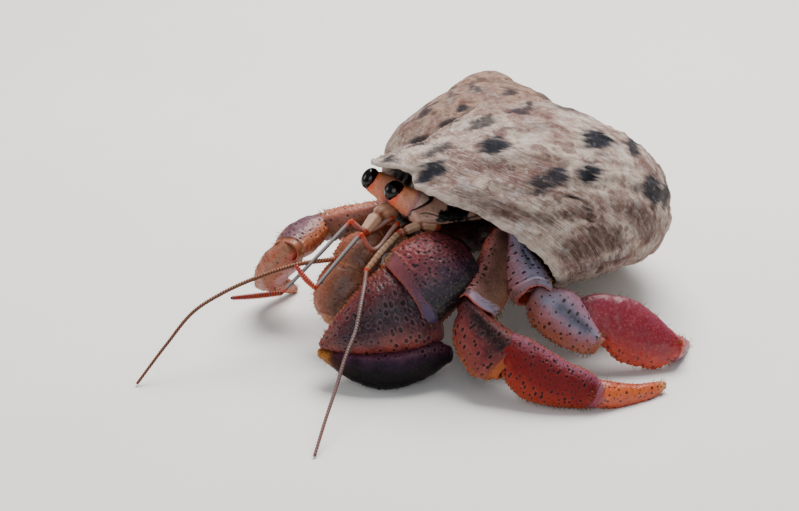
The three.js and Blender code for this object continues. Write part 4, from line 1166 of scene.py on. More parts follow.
def chitin(name, look):
    """The whole recipe for one segment of armour."""
    f = Finish(name, coat=look.get("coat", 0.2), specular=look.get("specular", 0.35), coat_rough=0.22)
    edge, along = f.stored("edge"), f.stored("along")
    cloud = f.noise(3.0, 4, 0.6)
    fine = f.noise(0.55, 3, 0.6)
    grains = f.cells(look.get("granules", 0.34))
    wobble = f.calc("MULTIPLY", f.calc("SUBTRACT", cloud, 0.5), 0.55)
    base = armour_ground(f, look, edge, along, wobble)
    base = f.mix(f.spread(cloud, 0.55, 0.75, 0, 0.35), base, f.mix(0.5, base, "#2a1418"))
    base = f.mix(f.spread(fine, 0.52, 0.72, 0, look.get("fleck", 0.25)), base, f.mix(0.4, base, "#f0c8b8"))
    base = f.mix(f.spread(fine, 0.48, 0.28, 0, 0.40), base, f.mix(0.5, base, "#1c0c10"))
    # partly painted highlight: the granule tops are lightened, partly their own paler colour
    light = look.get("grain_highlight", 0.12)
    base = f.mix(f.spread(grains, 0.26, 0.08, 0, light), base, f.mix(0.5, base, "#ffe0cc"))
    base = f.mix(f.calc("MULTIPLY", f.stored("scales"), 0.30), base, look.get("scale_colour", "#b06a68"))
    base = armour_pits(f, look, base)
    for number, blot in enumerate(look.get("blots", ())):
        base = f.mix(f.stored(f"blot_{number}"), base, blot[4])
    seam = f.calc("MULTIPLY", f.stored("seam"), 0.8)
    # painted shade: on the shield, a dark line where the eye stalks meet it
    if look.get("stalk_shaded"):
        seam = f.calc("MAXIMUM", seam, f.stored("stalk_shade"))
    base = f.mix(seam, base, "#1c1010")
    banded = f.ramp(f.calc("ADD", edge, f.calc("MULTIPLY", wobble, 0.8)),
                    [(0.15, look.get("band_low", "#a07480")), (0.8, look.get("band_high", "#9b8fae"))])
    base = f.mix(f.calc("MULTIPLY", f.stored("band"), 0.9), base, banded)
    base = f.mix(f.calc("MULTIPLY", f.stored("rim"), RIM_STRENGTH), base, look.get("rim_colour", "#a5572f"))
    membrane = f.mix(fine, look.get("membrane", "#b0562e"), "#5c2a1c")
    base = f.mix(f.stored("cup"), base, membrane)
    shine = look.get("rough", 0.40)
    rough = f.spread(fine, 0.3, 0.7, shine - 0.08, shine + 0.12)
    quiet = f.calc("SUBTRACT", 1.0, f.stored("band"), clamp=True)
    height = f.calc("MULTIPLY", f.calc("SUBTRACT", 1.0, grains), quiet)
    normal = f.bump(height, look.get("granule_depth", 0.07), 0.8)
    normal = f.bump(fine, 0.08, 0.5, normal)
    return f.done(base, rough, normal)


# %% [markdown]
# ## The big left claw
# The left claw is the crab's door and its weapon, purple and pitted like the peel of an orange. The
# palm carries ringed pits that grow towards its upper edge, with a hollow down the middle that is
# darkened as painted shade. The movable finger below it is mauve with a painted sheen on top and
# painted near black below as shade, and the wrist above has scale-like granules and a side painted
# dark as shadow.

# %% Left claw
CLAW_LOOKS = {
    "palm": {
        "colours": ["#7c4044", "#6e3e46", "#54394a", "#704248", "#a06058"],
        "tints": [(0.30, 0.0, "#4a4250", 0.55), (0.80, 1.0, "#9a5a48", 0.6)],
        "pits": (1.40, 0.26, 1.0), "pit_depth": 0.10, "pit_colour": "#38100f", "ring_colour": "#b08a90",
        "crescent": 0.45, "ring_strength": 0.16, "fleck": 0.14,
        "hollows": [(0.42, 0.16, 0.8, 0.05, 0.85)], "hollow_colour": "#37313e", "hollow_strength": 0.75,
        "teeth": (0.32, 0.22), "tooth_step": 0.75, "rim_colour": "#9a5638", "fine": 0.17, "pointed": True,
        "scale_zone": lambda edge, t: 0.25 * ease(edge, 0.25, 0.05), "scale_colour": "#a8645c",
        "rough": 0.40, "coat": 0.06, "specular": 0.28, "granule_depth": 0.05,
    },
    "dactyl": {
        # painted light: mauve with a painted sheen on top, near black below as painted shade, and the first
        # tint a painted shadow at the joint end
        "colours": ["#8c6474", "#7a566a", "#523a52", "#221426", "#120810"],
        "tints": [(0.42, 0.10, "#2a1218", 0.6), (0.72, 0.98, "#6a342c", 0.7), (0.93, 1.02, "#c08f48", 0.75)],
        "fleck": 0.03, "pits": (1.5, 0.20, 1.0), "pit_depth": 0.10, "pit_colour": "#160a0e",
        "pit_zone": lambda edge, t: ease(edge, 0.55, 0.30),
        "teeth": (0.20, 0.0), "tooth_step": 0.7, "rim_colour": "#8c4c3c", "fine": 0.19, "pointed": True,
        "scale_zone": lambda edge, t: 0.35 * ease(edge, 0.5, 0.9), "scale_colour": "#3c2434",
        "rough": 0.42, "grain_highlight": 0.0, "coat": 0.0, "specular": 0.12,
    },
    "carpus": {
        # painted shadow: the ramp turns blue-black on the side in shade, and the first tint darkens the near
        # end
        "colours": ["#9a545a", "#844c58", "#5a475a", "#343442", "#1a181f"],
        "tints": [(0.35, 0.0, "#2c2830", 0.5)], "crescent": 0.5,
        "pits": (0.95, 0.19, 1.3), "pit_depth": 0.08, "pit_colour": "#2c0e12",
        "pit_zone": lambda edge, t: ease(edge, 0.60, 0.38),
        "scale_zone": lambda edge, t: ease(edge, 0.50, 0.15), "scale_size": 0.75, "scale_colour": "#c07a70",
        "band": 1.5, "band_low": "#96646c", "band_high": "#665676",
        "lobes": [(0.3, 0.6, 0.9), (2.6, 0.8, 0.5)],
        "teeth": (0.3, 0.25), "tooth_step": 0.7, "rim_colour": "#9c5a3a", "fine": 0.17, "rough": 0.42,
        "coat": 0.06, "specular": 0.28, "granule_depth": 0.05,
    },
    "merus": {
        "colours": ["#5d3c40", "#3a2a34", "#241d26", "#1b161c", "#1e181e"], "fine": 0.35,
        "pits": (1.6, 0.2, 1.2), "teeth": (0.2, 0.2), "coat": 0.0, "specular": 0.15,
    },
    # painted shade: dark brown coxae, which stand in the shade under the shell
    "coxa": {
        "colours": ["#38281f", "#443025", "#32221c"], "fine": 0.45, "pits": (2.4, 0.15, 1.0),
        "coat": 0.0, "specular": 0.15,
    },
}


def make_limb(limb, parts, looks):
    """All the segments of one limb."""
    for segment, part in parts.items():
        armour(f"{limb}_{segment}", part, looks[segment])
    faces = sum(len(pieces[f"{limb}_{segment}_plate"].data.polygons) for segment in parts)
    print(f"{limb}: {len(parts)} segments, {faces} faces")


make_limb("cheliped_left", LEFT_CLAW, CLAW_LOOKS)

# %% [markdown]
# ## Walking legs
# The legs run from mauve at the body, through crimson plates, to orange toes. All of them carry dark
# commas, which are pits with a short hair in each, and a saw-toothed lower keel. The two visible left
# legs differ, so each has its own looks. The right legs share one set, a little more faded.

# %% First left walking leg
LEG_2_LOOKS = {
    "coxa": CLAW_LOOKS["coxa"],
    "merus": {
        "colours": ["#d89088", "#d09a98", "#ae887e", "#94766a", "#a2826e"],
        # painted shade: the inner colour stands for the shaded inner face of the merus
        "tints": [(0.30, 0.0, "#5a4238", 0.5)], "inner": "#745a4c", "crescent": 0.6,
        "pits": (1.05, 0.27, 0.8), "pit_depth": 0.10, "pit_zone": lambda edge, t: ease(edge, 0.64, 0.46),
        "band": 1.5, "band_low": "#b58c92", "band_high": "#b0a9bc",
        "lobes": [(1.1, 0.45, 0.8), (2.2, 0.4, -0.5)],
        "teeth": (0.35, 0.12), "tooth_step": 0.8, "rim_colour": "#bd6830", "fine": 0.18,
        "scale_zone": lambda edge, t: 0.6 * ease(edge, 0.30, 0.10),
    },
    "carpus": {
        "colours": ["#9e6058", "#8e5052", "#54343a", "#74444a", "#966258"], "fleck": 0.10,
        "tints": [(0.25, 0.0, "#74505a", 0.5), (0.85, 1.0, "#9c6040", 0.45)], "crescent": 0.6,
        "pits": (1.4, 0.25, 0.9), "pit_depth": 0.12, "pit_colour": "#260c10",
        "hollows": [(0.45, 0.12, 0.6, 0.15, 0.95)], "hollow_colour": "#2c1e24", "hollow_strength": 0.8,
        "band": 0.8, "band_low": "#b8784a", "band_high": "#a8706a", "lobes": [(0.4, 0.6, 0.6)],
        "teeth": (0.38, 0.0), "tooth_step": 0.8, "rim_colour": "#b07850", "fine": 0.17, "coat": 0.0,
        "specular": 0.2, "rough": 0.48, "granules": 0.5,
    },
    "propodus": {
        # partly painted light: the mauve upper edge is partly the leg's own colour and partly a painted sheen
        "colours": ["#a84a30", "#941e20", "#8a0c1a", "#862436", "#9a6076"], "fleck": 0.06,
        "grain_highlight": 0.03,
        "tints": [(0.90, 1.0, "#96606c", 0.75)], "crescent": 0.35,
        "pits": (1.02, 0.25, 0.8), "pit_depth": 0.12, "pit_colour": "#260810",
        "pit_zone": lambda edge, t: 0.35 + 0.65 * ease(np.abs(edge - 0.36), 0.08, 0.24),
        "teeth": (0.30, 0.15), "tooth_step": 0.8, "rim_colour": "#b4704c", "fine": 0.17, "rough": 0.50,
        "coat": 0.0, "specular": 0.2, "sway": 0.03,
        "band": 0.8, "band_low": "#a8647c", "band_high": "#a87a88",
        "membrane": "#a05060",
    },
    "dactyl": {
        "colours": ["#bd6038", "#cc7040", "#d8844e", "#d07a4a", "#bd6a4c"],
        "tints": [(0.14, 0.0, "#9a5f70", 0.85), (0.86, 1.0, "#dcae78", 0.8)],
        "pits": (0.85, 0.14, 1.7), "pit_depth": 0.06, "pit_colour": "#3a1610",
        "teeth": (0.10, 0.10), "rim_colour": "#c8703a", "pointed": True, "fine": 0.16,
    },
}
make_limb("leg_2_left", LEFT_LEG_2, LEG_2_LOOKS)

# %% [markdown]
# ## The other left walking leg
# This one lies behind the first. It is more crimson towards its tip, with a wet shine on the flank.

# %% Other left walking leg
LEG_3_LOOKS = {
    "coxa": CLAW_LOOKS["coxa"],
    "merus": {
        "colours": ["#c8989a", "#c6a4b0", "#b6b0c2", "#b8b2c4", "#beacb8"],
        "pits": (1.25, 0.24, 0.9), "pit_depth": 0.10, "pit_colour": "#3a1820", "crescent": 0.7,
        "hollows": [(0.62, 0.12, 0.25, 0.3, 0.8)], "hollow_colour": "#7d8698", "hollow_strength": 0.7,
        "band": 1.5, "band_low": "#bd989c", "band_high": "#b8b2c2",
        "lobes": [(0.6, 0.40, 1.2), (1.8, 0.35, -0.5)],
        "teeth": (0.28, 0.12), "tooth_step": 0.75, "rim_colour": "#b8602c", "membrane": "#b85c26",
        "scale_zone": lambda edge, t: 0.4 * ease(edge, 0.25, 0.08), "fine": 0.17,
    },
    "carpus": {
        "colours": ["#c48874", "#b88c96", "#a09eb0", "#a89cac", "#b892a0"],
        "tints": [(0.2, 0.0, "#9a6a5c", 0.6)], "crescent": 0.6,
        "pits": (1.35, 0.22, 0.9), "pit_depth": 0.12, "pit_colour": "#33131a",
        "hollows": [(0.55, 0.15, 0.5, 0.2, 0.9)], "hollow_colour": "#5c6070", "hollow_strength": 0.8,
        "band": 0.7, "band_low": "#b57a5a", "band_high": "#b88a86",
        "teeth": (0.38, 0.0), "tooth_step": 0.8, "rim_colour": "#b86a3c", "fine": 0.17,
    },
    "propodus": {
        "colours": ["#c85c40", "#b03c48", "#a43e50", "#a24256", "#a25468"],
        "tints": [(0.20, 0.0, "#7c3c4c", 0.6), (0.88, 1.0, "#b42434", 0.8)],
        "pits": (1.3, 0.20, 0.9), "pit_depth": 0.08, "pit_colour": "#3a0f18",
        "pit_zone": lambda edge, t: np.maximum(ease(edge, 0.26, 0.16), 0.6 * ease(t, 0.22, 0.12)),
        "teeth": (0.30, 0.0), "tooth_step": 0.8, "rim_colour": "#c4683c", "fine": 0.19, "rough": 0.42,
        "grain_highlight": 0.22, "granules": 0.5, "granule_depth": 0.05, "coat": 0.2, "membrane": "#8a2030",
    },
    "dactyl": {
        "colours": ["#985070", "#a43a4c", "#b02a30", "#b8362c", "#b03030"],
        "tints": [(0.7, 1.0, "#c06a3e", 0.6)],
        "pits": (1.0, 0.16, 1.6), "pointed": True, "teeth": (0.1, 0.1),
    },
}
make_limb("leg_3_left", LEFT_LEG_3, LEG_3_LOOKS)

# %% [markdown]
# ## The right walking legs
# Both share one table of looks, sandier and plainer, because the two legs look much the same.

# %% Right walking legs
RIGHT_LEG_LOOKS = {
    "coxa": CLAW_LOOKS["coxa"],
    "merus": {
        "colours": ["#bf8468", "#b98272", "#a87462", "#a07258", "#8c664e"],
        "pits": (1.4, 0.20, 0.9), "band": 1.2, "band_low": "#b58a78", "band_high": "#a88a90",
        "teeth": (0.2, 0.2), "rim_colour": "#b5663c", "fine": 0.24,
    },
    "carpus": {
        "colours": ["#93646a", "#80606c", "#8f6a72", "#a87670", "#c08a6c"],
        "pits": (1.3, 0.24, 0.9), "pit_depth": 0.12, "pit_colour": "#3c2030",
        "band": 1.0, "band_low": "#b8806a", "band_high": "#b5866c",
        "teeth": (0.2, 0.25), "rim_colour": "#b5663c", "fine": 0.21,
    },
    "propodus": {
        "colours": ["#bd5c5c", "#b44c50", "#b8524e", "#bd7a60", "#ac8064"],
        "pits": (1.3, 0.2, 0.9), "pit_colour": "#54202a", "teeth": (0.2, 0.2), "rim_colour": "#c0704c",
        "fine": 0.22, "rough": 0.42,
    },
    "dactyl": {
        "colours": ["#b06a4c", "#c07a54", "#c88a60", "#b8765a", "#a8625a"], "pointed": True,
        "tints": [(0.86, 1.0, "#d8a468", 0.8)], "pits": (0.95, 0.15, 1.6), "fine": 0.28,
    },
}
make_limb("leg_2_right", RIGHT_LEG_2, RIGHT_LEG_LOOKS)
make_limb("leg_3_right", RIGHT_LEG_3, RIGHT_LEG_LOOKS)

# %% [markdown]
# ## The small right claw
# The right claw feeds the crab. It is slimmer and sandy, with an orange edge and hardly any pits.

# %% Right claw
TAN_LOOK = {
    "colours": ["#b0785e", "#a07058", "#8f6652", "#966c56", "#a87a64"],
    "pits": (1.7, 0.15, 1.0), "pit_depth": 0.06, "pit_colour": "#5c3a2c", "ring_colour": "#c0a08a",
    "teeth": (0.22, 0.16), "tooth_step": 0.7, "rim_colour": "#bd6a40", "fine": 0.24, "rough": 0.46,
    "band": 1.0, "band_low": "#bd8a66", "band_high": "#b58a70", "membrane": "#8a5236",
    "hollows": [(0.5, 0.2, 0.3, 0.1, 0.9)], "hollow_colour": "#74584a", "hollow_strength": 0.6,
}
RIGHT_CLAW_LOOKS = {segment: dict(TAN_LOOK) for segment in RIGHT_CLAW}
RIGHT_CLAW_LOOKS["palm"]["pointed"] = True
RIGHT_CLAW_LOOKS["dactyl"]["pointed"] = True
make_limb("cheliped_right", RIGHT_CLAW, RIGHT_CLAW_LOOKS)

# %% [markdown]
# ## Eyes
# The eyes stand on flattened stalks with rounded ends. The cornea is a dark glossy dome set into an
# orange rim, so it is a ball of its own with a wet coat, sunk into the end of the stalk. Fine cells
# in its bump are the facets of a compound eye.

# %% Eyes
EYES = {"left": ((0.2, 5.3, 24.1), (-2.8, 1.1, 27.1)), "right": ((-7.2, 6.0, 23.9), (-10.1, 1.4, 27.5))}
# Half-sizes of each dome along, across and through the stalk, and its shift along and across it.
CORNEAS = {"left": ((1.95, 1.95, 1.6), (0.20, -0.42)), "right": ((1.55, 2.05, 1.6), (0.08, -0.14))}
STALK_STATIONS = ((0, 2.3, 2.3, 1.5, 1.5), (0.3, 2.7, 2.6, 1.7, 1.7), (0.7, 2.3, 2.3, 1.7, 1.7),
                  (0.86, 2.1, 2.1, 1.7, 1.7), (0.95, 2.0, 1.7, 1.6, 1.6), (1, 1.85, 1.5, 1.45, 1.45))
STALK_LOOK = {
    "colours": ["#f2b290", "#f8c8ac", "#f6c2ae", "#f2bca8", "#eaaa8c"], "pointed": True, "fine": 0.10,
    "tints": [(0.50, 0.38, "#b490aa", 0.5), (0.34, 0.24, "#ecd4c8", 0.8), (0.52, 0.92, "#f09c60", 0.50),
              (0.82, 0.97, "#f0701e", 0.85)],
    "pit_zone": lambda edge, t: 0.0 * t, "sway": 0.04, "grain": 0.015, "granules": 0.22,
    "granule_depth": 0.02, "rough": 0.34, "coat": 0.4, "grain_highlight": 0.06,
}


DOME_RINGS, DOME_SIDES = 40, 56


def stalk_frame(side):
    """The foot of a stalk, its length, and the directions along, across and through it."""
    foot, eye = np.array(EYES[side])
    length = np.linalg.norm(eye - foot)
    axis = (eye - foot) / length
    across = np.cross(OUTWARD_LEFT, axis)
    across = across / np.linalg.norm(across)
    return foot, length, axis, across, np.cross(axis, across)


def make_eye(side):
    """A stalk and the dark dome at its end."""
    foot, eye = EYES[side]
    stalk = {"from": foot, "to": eye, "face": OUTWARD_LEFT, "stations": STALK_STATIONS}
    armour(f"eyestalk_{side}", stalk, STALK_LOOK)
    mesh, place, angle = ball(f"cornea_{side}_dome", DOME_RINGS, DOME_SIDES)
    _, _, axis, across, deep = stalk_frame(side)
    front, round_it = np.cos(place * math.pi), np.sin(place * math.pi)
    (long_way, high, wide), (forward, upward) = CORNEAS[side]
    middle = np.array(eye) + forward * axis + upward * across
    points = middle + long_way * front[:, None] * axis
    points = points + (high * round_it * np.cos(angle))[:, None] * across
    points = points + (wide * round_it * np.sin(angle))[:, None] * deep
    write_points(mesh, points)
    face_outward(mesh)
    f = Finish(f"cornea_{side}_wet", coat=0.30, specular=0.2, coat_rough=0.05)
    keep_value(mesh, "front", front)
    deep_brown = f.mix(f.noise(0.9, 2), "#2a1612", "#180d0c")
    base = f.mix(f.spread(f.stored("front"), 0.25, -0.15), deep_brown, "#4c2012")
    material = f.done(base, 0.16, f.bump(f.cells(0.11), 0.012, 0.35))
    finish_piece(mesh, points, material, [f"cornea_{side}"])


make_eye("left")
make_eye("right")
print("eyes at", [tuple(np.round(np.array(EYES[side][1]) + CENTRE, 1)) for side in EYES])

# %% [markdown]
# ## The shield behind the eyes
# A smooth plate covers the front of the body and runs back under the shell. It is pinkish and sandy
# with a large black blotch at its edge, a dark seam, and paler skin below. A dark line of painted
# shade rings the foot of each eye stalk.

# %% Shield
SHIELD = {
    "from": (-0.9, 2.9, 23.4), "to": (1.0, 17.0, 22.2), "face": UP,
    "stations": ((0, 3.8, 3.8, 1.6, 1.2), (0.2, 5.6, 5.6, 2.8, 1.4), (0.5, 6.6, 6.6, 3.5, 1.4),
                 (0.8, 6.9, 6.9, 3.6, 1.2), (1, 6.0, 6.0, 2.6, 1.0)),
}
SHIELD_LOOK = {
    "colours": ["#d4b4a4", "#dab0a2", "#d0a090", "#d4a494", "#d4b4a4"], "pointed": True, "fine": 0.16,
    "pits": (1.5, 0.09, 1.0), "pit_depth": 0.04, "pit_colour": "#6a3028", "rough": 0.42, "grain_highlight": 0.3,
    "blots": [(0.38, 2.80, 0.24, 0.46, "#120f12"), (0.72, 2.60, 0.16, 0.30, "#2a1d1c"),
              (0.50, -2.7, 0.22, 0.5, "#3a2c2a"), (0.38, 0.34, 0.24, 0.46, "#120f12")],
    "stalk_shaded": True, "seams": [(0.08, 2.45), (0.30, 3.05), (0.60, 3.05), (0.95, 2.9)],
}
plate = armour("shield", SHIELD, SHIELD_LOOK)


STALK_SHADE_SIZE = (1.4, 2.75, 1.75)    # millimetres past the ends of a stalk, across it and through it


def stalk_shade_mask(points):
    """1 on skin close to an eye stalk: a dark line of painted shade that parts the stalks from the shield."""
    shade_near_stalk = np.zeros(len(points))
    for side in EYES:
        foot, length, axis, across, deep = stalk_frame(side)
        off = points - foot
        past = np.maximum(np.abs(off @ axis - length / 2) - length / 2, 0) / STALK_SHADE_SIZE[0]
        away = np.sqrt((off @ across / STALK_SHADE_SIZE[1]) ** 2 + (off @ deep / STALK_SHADE_SIZE[2]) ** 2 + past**2)
        shade_near_stalk = np.maximum(shade_near_stalk, ease(away, 1.22, 1.08))
    return shade_near_stalk


# painted shade round the feet of the eye stalks
keep_value(plate.data, "stalk_shade", stalk_shade_mask(read_points(plate.data) / MM - CENTRE))
print("shield faces:", len(plate.data.polygons))

# %% [markdown]
# ## Feelers
# The two antennae end in long whips of tiny ring-like articles, the two antennules in stiff rods with
# a soft orange brush. The mouth legs between them, the maxillipeds, are made in the same way. Each
# one follows a smooth line through a few points, and starts where the one before it ends. A curve
# with a bevel would give the line, but not the rings.

# %% Lines of the feelers
FEELERS = {
    "antenna_base_left": (((3.6, 5.6, 21.6), (2.6, 3.6, 22.2), (1.4, -1.2, 21.5)), (0.95, 0.65)),
    "antenna_stem_left": (((1.4, -1.5, 21.4), (1.9, -5.8, 19.4), (2.6, -9.9, 17.1)), (0.65, 0.55)),
    "antenna_whip_left": (((2.8, -10.1, 17.0), (7.1, -14.0, 17.3), (10.5, -17.5, 16.2), (13.5, -21.2, 13.3),
        (15.9, -25.4, 10.5), (18.7, -29.9, 6.9), (21.5, -34.3, 3.9), (24.9, -39.3, 0.5)), (0.38, 0.26)),
    "antenna_base_right": (((-6.4, 3.4, 21.6), (-4.9, -0.5, 22.9), (-3.9, -5.0, 21.0)), (1.7, 0.85)),
    "antenna_stem_right": (((-3.9, -5.3, 20.8), (-4.2, -8.4, 18.8), (-4.8, -10.8, 17.2)), (0.7, 0.5)),
    "antenna_whip_right": (((-4.8, -11.0, 17.1), (-8.0, -16.6, 16.7), (-10.6, -24.6, 15.4),
        (-12.5, -30.9, 13.5), (-13.7, -35.5, 11.4), (-14.4, -41.6, 6.2), (-14.9, -47.6, 0.5)), (0.42, 0.26)),
    "antennule_base_left": (((-1.4, 0.6, 21.8), (-0.5, -6.3, 19.2), (-1.8, -7.5, 22.0)), (0.5, 0.42)),
    "antennule_rod_left": (((-1.8, -7.7, 22.0), (-2.2, -12.7, 18.1), (-2.5, -17.4, 14.3)), (0.36, 0.32)),
    "antennule_tip_left": (((-2.6, -17.5, 14.3), (-4.2, -18.5, 16.0), (-5.8, -18.9, 17.6)), (0.46, 0.38)),
    "antennule_base_right": (((-3.2, 0.8, 22.2), (-3.7, -5.2, 21.3), (-5.1, -7.0, 23.3)), (0.5, 0.42)),
    "antennule_rod_right": (((-5.2, -7.3, 23.2), (-6.7, -14.1, 17.5), (-8.2, -20.5, 12.2)), (0.36, 0.32)),
    "antennule_tip_right": (((-8.3, -20.7, 12.1), (-11.1, -24.3, 11.6), (-13.6, -27.6, 11.3)), (0.46, 0.36)),
    "maxilliped_left": (((2.6, 1.6, 18.8), (3.6, -1.8, 18.2), (3.4, -5.0, 16.2)), (1.2, 0.6)),
    "maxilliped_right": (((-1.0, 1.6, 18.2), (0.8, -1.6, 17.6), (0.9, -4.8, 15.6)), (1.2, 0.6)),
}
print("feelers and mouth legs:", len(FEELERS))

# %% [markdown]
# ## Rings and joints
# All feelers are round tubes with rounded ends. Each article is a slight bulge with a dark joint,
# modelled in the radius, because a bump alone would leave a bare wire. The finish reads where the
# joints are, so the dark rings always sit in the grooves.


# %% Feeler tubes
FEWEST_RINGS, MOST_RINGS = 24, 700
LONG_FEELER = 12         # millimetres from which an end takes a smaller share of the length
SHORT_CAP, LONG_CAP = 0.03, 0.008
LEAST_CAP_RINGS = 3
LOOK_AHEAD = 0.004       # share of the length over which the direction is measured


def feeler_finish(name, looks):
    """Horn-like skin with dark joints, lengthwise lines and an upper side tinted as painted light."""
    f = Finish(name, coat=0.15, specular=0.4, coat_rough=0.25)
    along = f.stored("along")
    base = f.ramp(along, looks["colours"])
    base = f.mix(f.spread(f.noise(0.5, 3), 0.45, 0.7, 0, 0.4), base, looks.get("fleck", "#5a4030"))
    line = f.calc("MULTIPLY", f.stored("turn"), looks.get("line", 0.0))
    base = f.mix(line, base, looks.get("line_colour", "#6a4a34"))
    # painted light: the side that faces up takes the light tint, a painted highlight, darker red on the
    # brushes
    base = f.mix(f.spread(f.stored("top"), 0.6, 0.95, 0, 0.35), base, looks.get("light", "#d9b48c"))
    joint = f.calc("MULTIPLY", f.stored("joint"), looks.get("joint", 0.8))
    base = f.mix(joint, base, looks.get("joint_colour", "#3c2416"))
    for start, end, tint in looks.get("ends", ()):
        base = f.mix(f.spread(along, start, end), base, tint)
    return f.done(base, 0.42, f.bump(f.noise(0.25, 3), 0.05, 0.6))


def tube(name, points, radii, looks):
    """A jointed feeler: articles swell the radius, and joints are kept for the finish."""
    points = np.array(points)
    ribs_round = looks.get("rib_count", 6)
    steps = np.linalg.norm(np.diff(points, axis=0), axis=1)
    knots = np.concatenate([[0], np.cumsum(steps)])
    length = knots[-1]
    article = looks["article"]
    per_article = looks.get("per_article", 5)
    rings = int(min(max(length / article * per_article, FEWEST_RINGS), MOST_RINGS))
    mesh, place, angle = ball(name + "_rings", rings, looks.get("sides", 14))
    cap = max(SHORT_CAP if length < LONG_FEELER else LONG_CAP, LEAST_CAP_RINGS / rings)
    t = np.clip((place - cap) / (1 - 2 * cap), 0, 1)
    line = through(t * length, knots, points)
    ahead = through(np.clip(t + LOOK_AHEAD, 0, 1) * length, knots, points)
    behind = through(np.clip(t - LOOK_AHEAD, 0, 1) * length, knots, points)
    tangent = ahead - behind
    tangent /= np.linalg.norm(tangent, axis=1, keepdims=True)
    side = np.cross(tangent, (0.35, 0.25, 0.90))
    side /= np.linalg.norm(side, axis=1, keepdims=True)
    deep = np.cross(tangent, side)
    near = np.clip(place / cap, 0, 1)
    far = np.clip((1 - place) / cap, 0, 1)
    round_end = np.sqrt(1 - (1 - np.minimum(near, far)) ** 2)
    radius = radii[0] + (radii[1] - radii[0]) * t
    radius *= 1 + looks.get("belly", 0.0) * np.sin(np.pi * t)
    phase = np.modf(t * length / article)[0]
    joint = ease(np.abs(phase - 0.5), looks.get("segment", 0.32), 0.48)
    swell = 1 + looks.get("swell", 0.10) * (1 - 2 * joint)
    ribs = 1 + looks.get("ribs", 0.0) * np.cos(angle * ribs_round)
    r = radius * round_end * swell * ribs
    out = np.cos(angle)[:, None] * side + np.sin(angle)[:, None] * deep
    dome = (near - far) * radius
    points = line + tangent * dome[:, None] + out * r[:, None]
    write_points(mesh, points)
    face_outward(mesh)
    keep_value(mesh, "joint", joint)
    keep_value(mesh, "along", t)
    keep_value(mesh, "top", 0.5 - 0.5 * out @ np.array((-0.2, 0.2, -0.95)))
    keep_value(mesh, "turn", 0.5 + 0.5 * np.cos(angle * ribs_round))
    return finish_piece(mesh, points, feeler_finish(name + "_skin", looks), [name])


print("a feeler has up to", MOST_RINGS, "rings")

# %% [markdown]
# ## Looks of the feelers
# The bases are pale and banded with orange, the whips brown and finely ringed, the rods grey and the
# brushes orange. A look is a small table of settings. Where two feelers differ little, one table is
# made from the other with `|`, so the difference is easy to see.

# %% Looks of the feelers
BASE_LOOK = {
    "article": 3.2, "per_article": 18, "sides": 40, "swell": 0.12, "ribs": 0.04, "rib_count": 7, "line": 0.35,
    "colours": [(0.0, "#dcb49a"), (0.5, "#ecccb4"), (1.0, "#dab69e")], "line_colour": "#8a6450",
    "ends": [(0.06, 0.0, "#b5643a"), (0.95, 1.0, "#b8562c")], "joint": 0.85, "joint_colour": "#a8643c",
    "fleck": "#a88470", "light": "#ecd0b8",
}
RIGHT_BASE_LOOK = BASE_LOOK | {"article": 5.2, "ribs": 0.05, "swell": 0.16}
LEFT_STEM_LOOK = {
    "article": 0.95, "per_article": 12, "sides": 28, "swell": 0.07, "ribs": 0.06, "rib_count": 5, "line": 0.5,
    "colours": [(0.0, "#b9a893"), (0.5, "#c4b7a6"), (1.0, "#b08a6c")], "line_colour": "#96604e",
    "ends": [(0.05, 0.0, "#c0562a"), (0.93, 1.0, "#c4562a")], "joint": 0.6, "joint_colour": "#8a5a48",
}
RIGHT_STEM_LOOK = LEFT_STEM_LOOK | {
    "article": 1.3, "colours": [(0.0, "#a58e82"), (1.0, "#a5765c")], "line_colour": "#7c5848",
}
RIGHT_WHIP_LOOK = {
    "article": 0.52, "swell": 0.15, "segment": 0.15, "joint": 1.0, "joint_colour": "#2c180e",
    "colours": [(0.0, "#c06a34"), (0.10, "#a5622e"), (0.5, "#8a5636"), (1.0, "#8f5438")],
    "fleck": "#4c3222", "light": "#c9955e",
}
LEFT_WHIP_LOOK = {
    "article": 0.55, "swell": 0.13, "segment": 0.25, "joint": 0.85, "joint_colour": "#342426",
    "colours": [(0.0, "#a5684c"), (0.12, "#7e6a68"), (0.6, "#74595a"), (0.85, "#8f4a38"), (1.0, "#8c4030")],
    "fleck": "#4c3a3c", "light": "#b59a94",
}
ROD_LOOK = {
    "article": 4.6, "per_article": 30, "sides": 16, "swell": 0.03, "joint": 0.0,
    "colours": [(0.0, "#948a8c"), (0.5, "#868488"), (1.0, "#807a80")], "light": "#d6cfcc", "fleck": "#4e4848",
    "ends": [(0.09, 0.0, "#cf5a20"), (0.90, 1.0, "#cf5a20")],
}
ANTENNULE_LOOK = ROD_LOOK | {
    "colours": [(0.0, "#b5764c"), (0.45, "#a8705c"), (0.8, "#b5644a"), (1.0, "#d45c24")], "per_article": 24,
}
TIP_LOOK = {
    "article": 0.46, "per_article": 9, "sides": 18, "swell": 0.18, "joint": 1.0, "joint_colour": "#48100c",
    "colours": [(0.0, "#cc6c30"), (0.5, "#c86028"), (1.0, "#bc3c1e")], "light": "#a83a24", "fleck": "#a83c1c",
    "belly": 0.24, "segment": 0.10,
}
LEFT_TIP_LOOK = TIP_LOOK | {"joint": 0.35, "swell": 0.10}
MAXILLIPED_LOOK = BASE_LOOK | {"article": 2.2, "colours": [(0.0, "#a57860"), (1.0, "#b8846c")]}
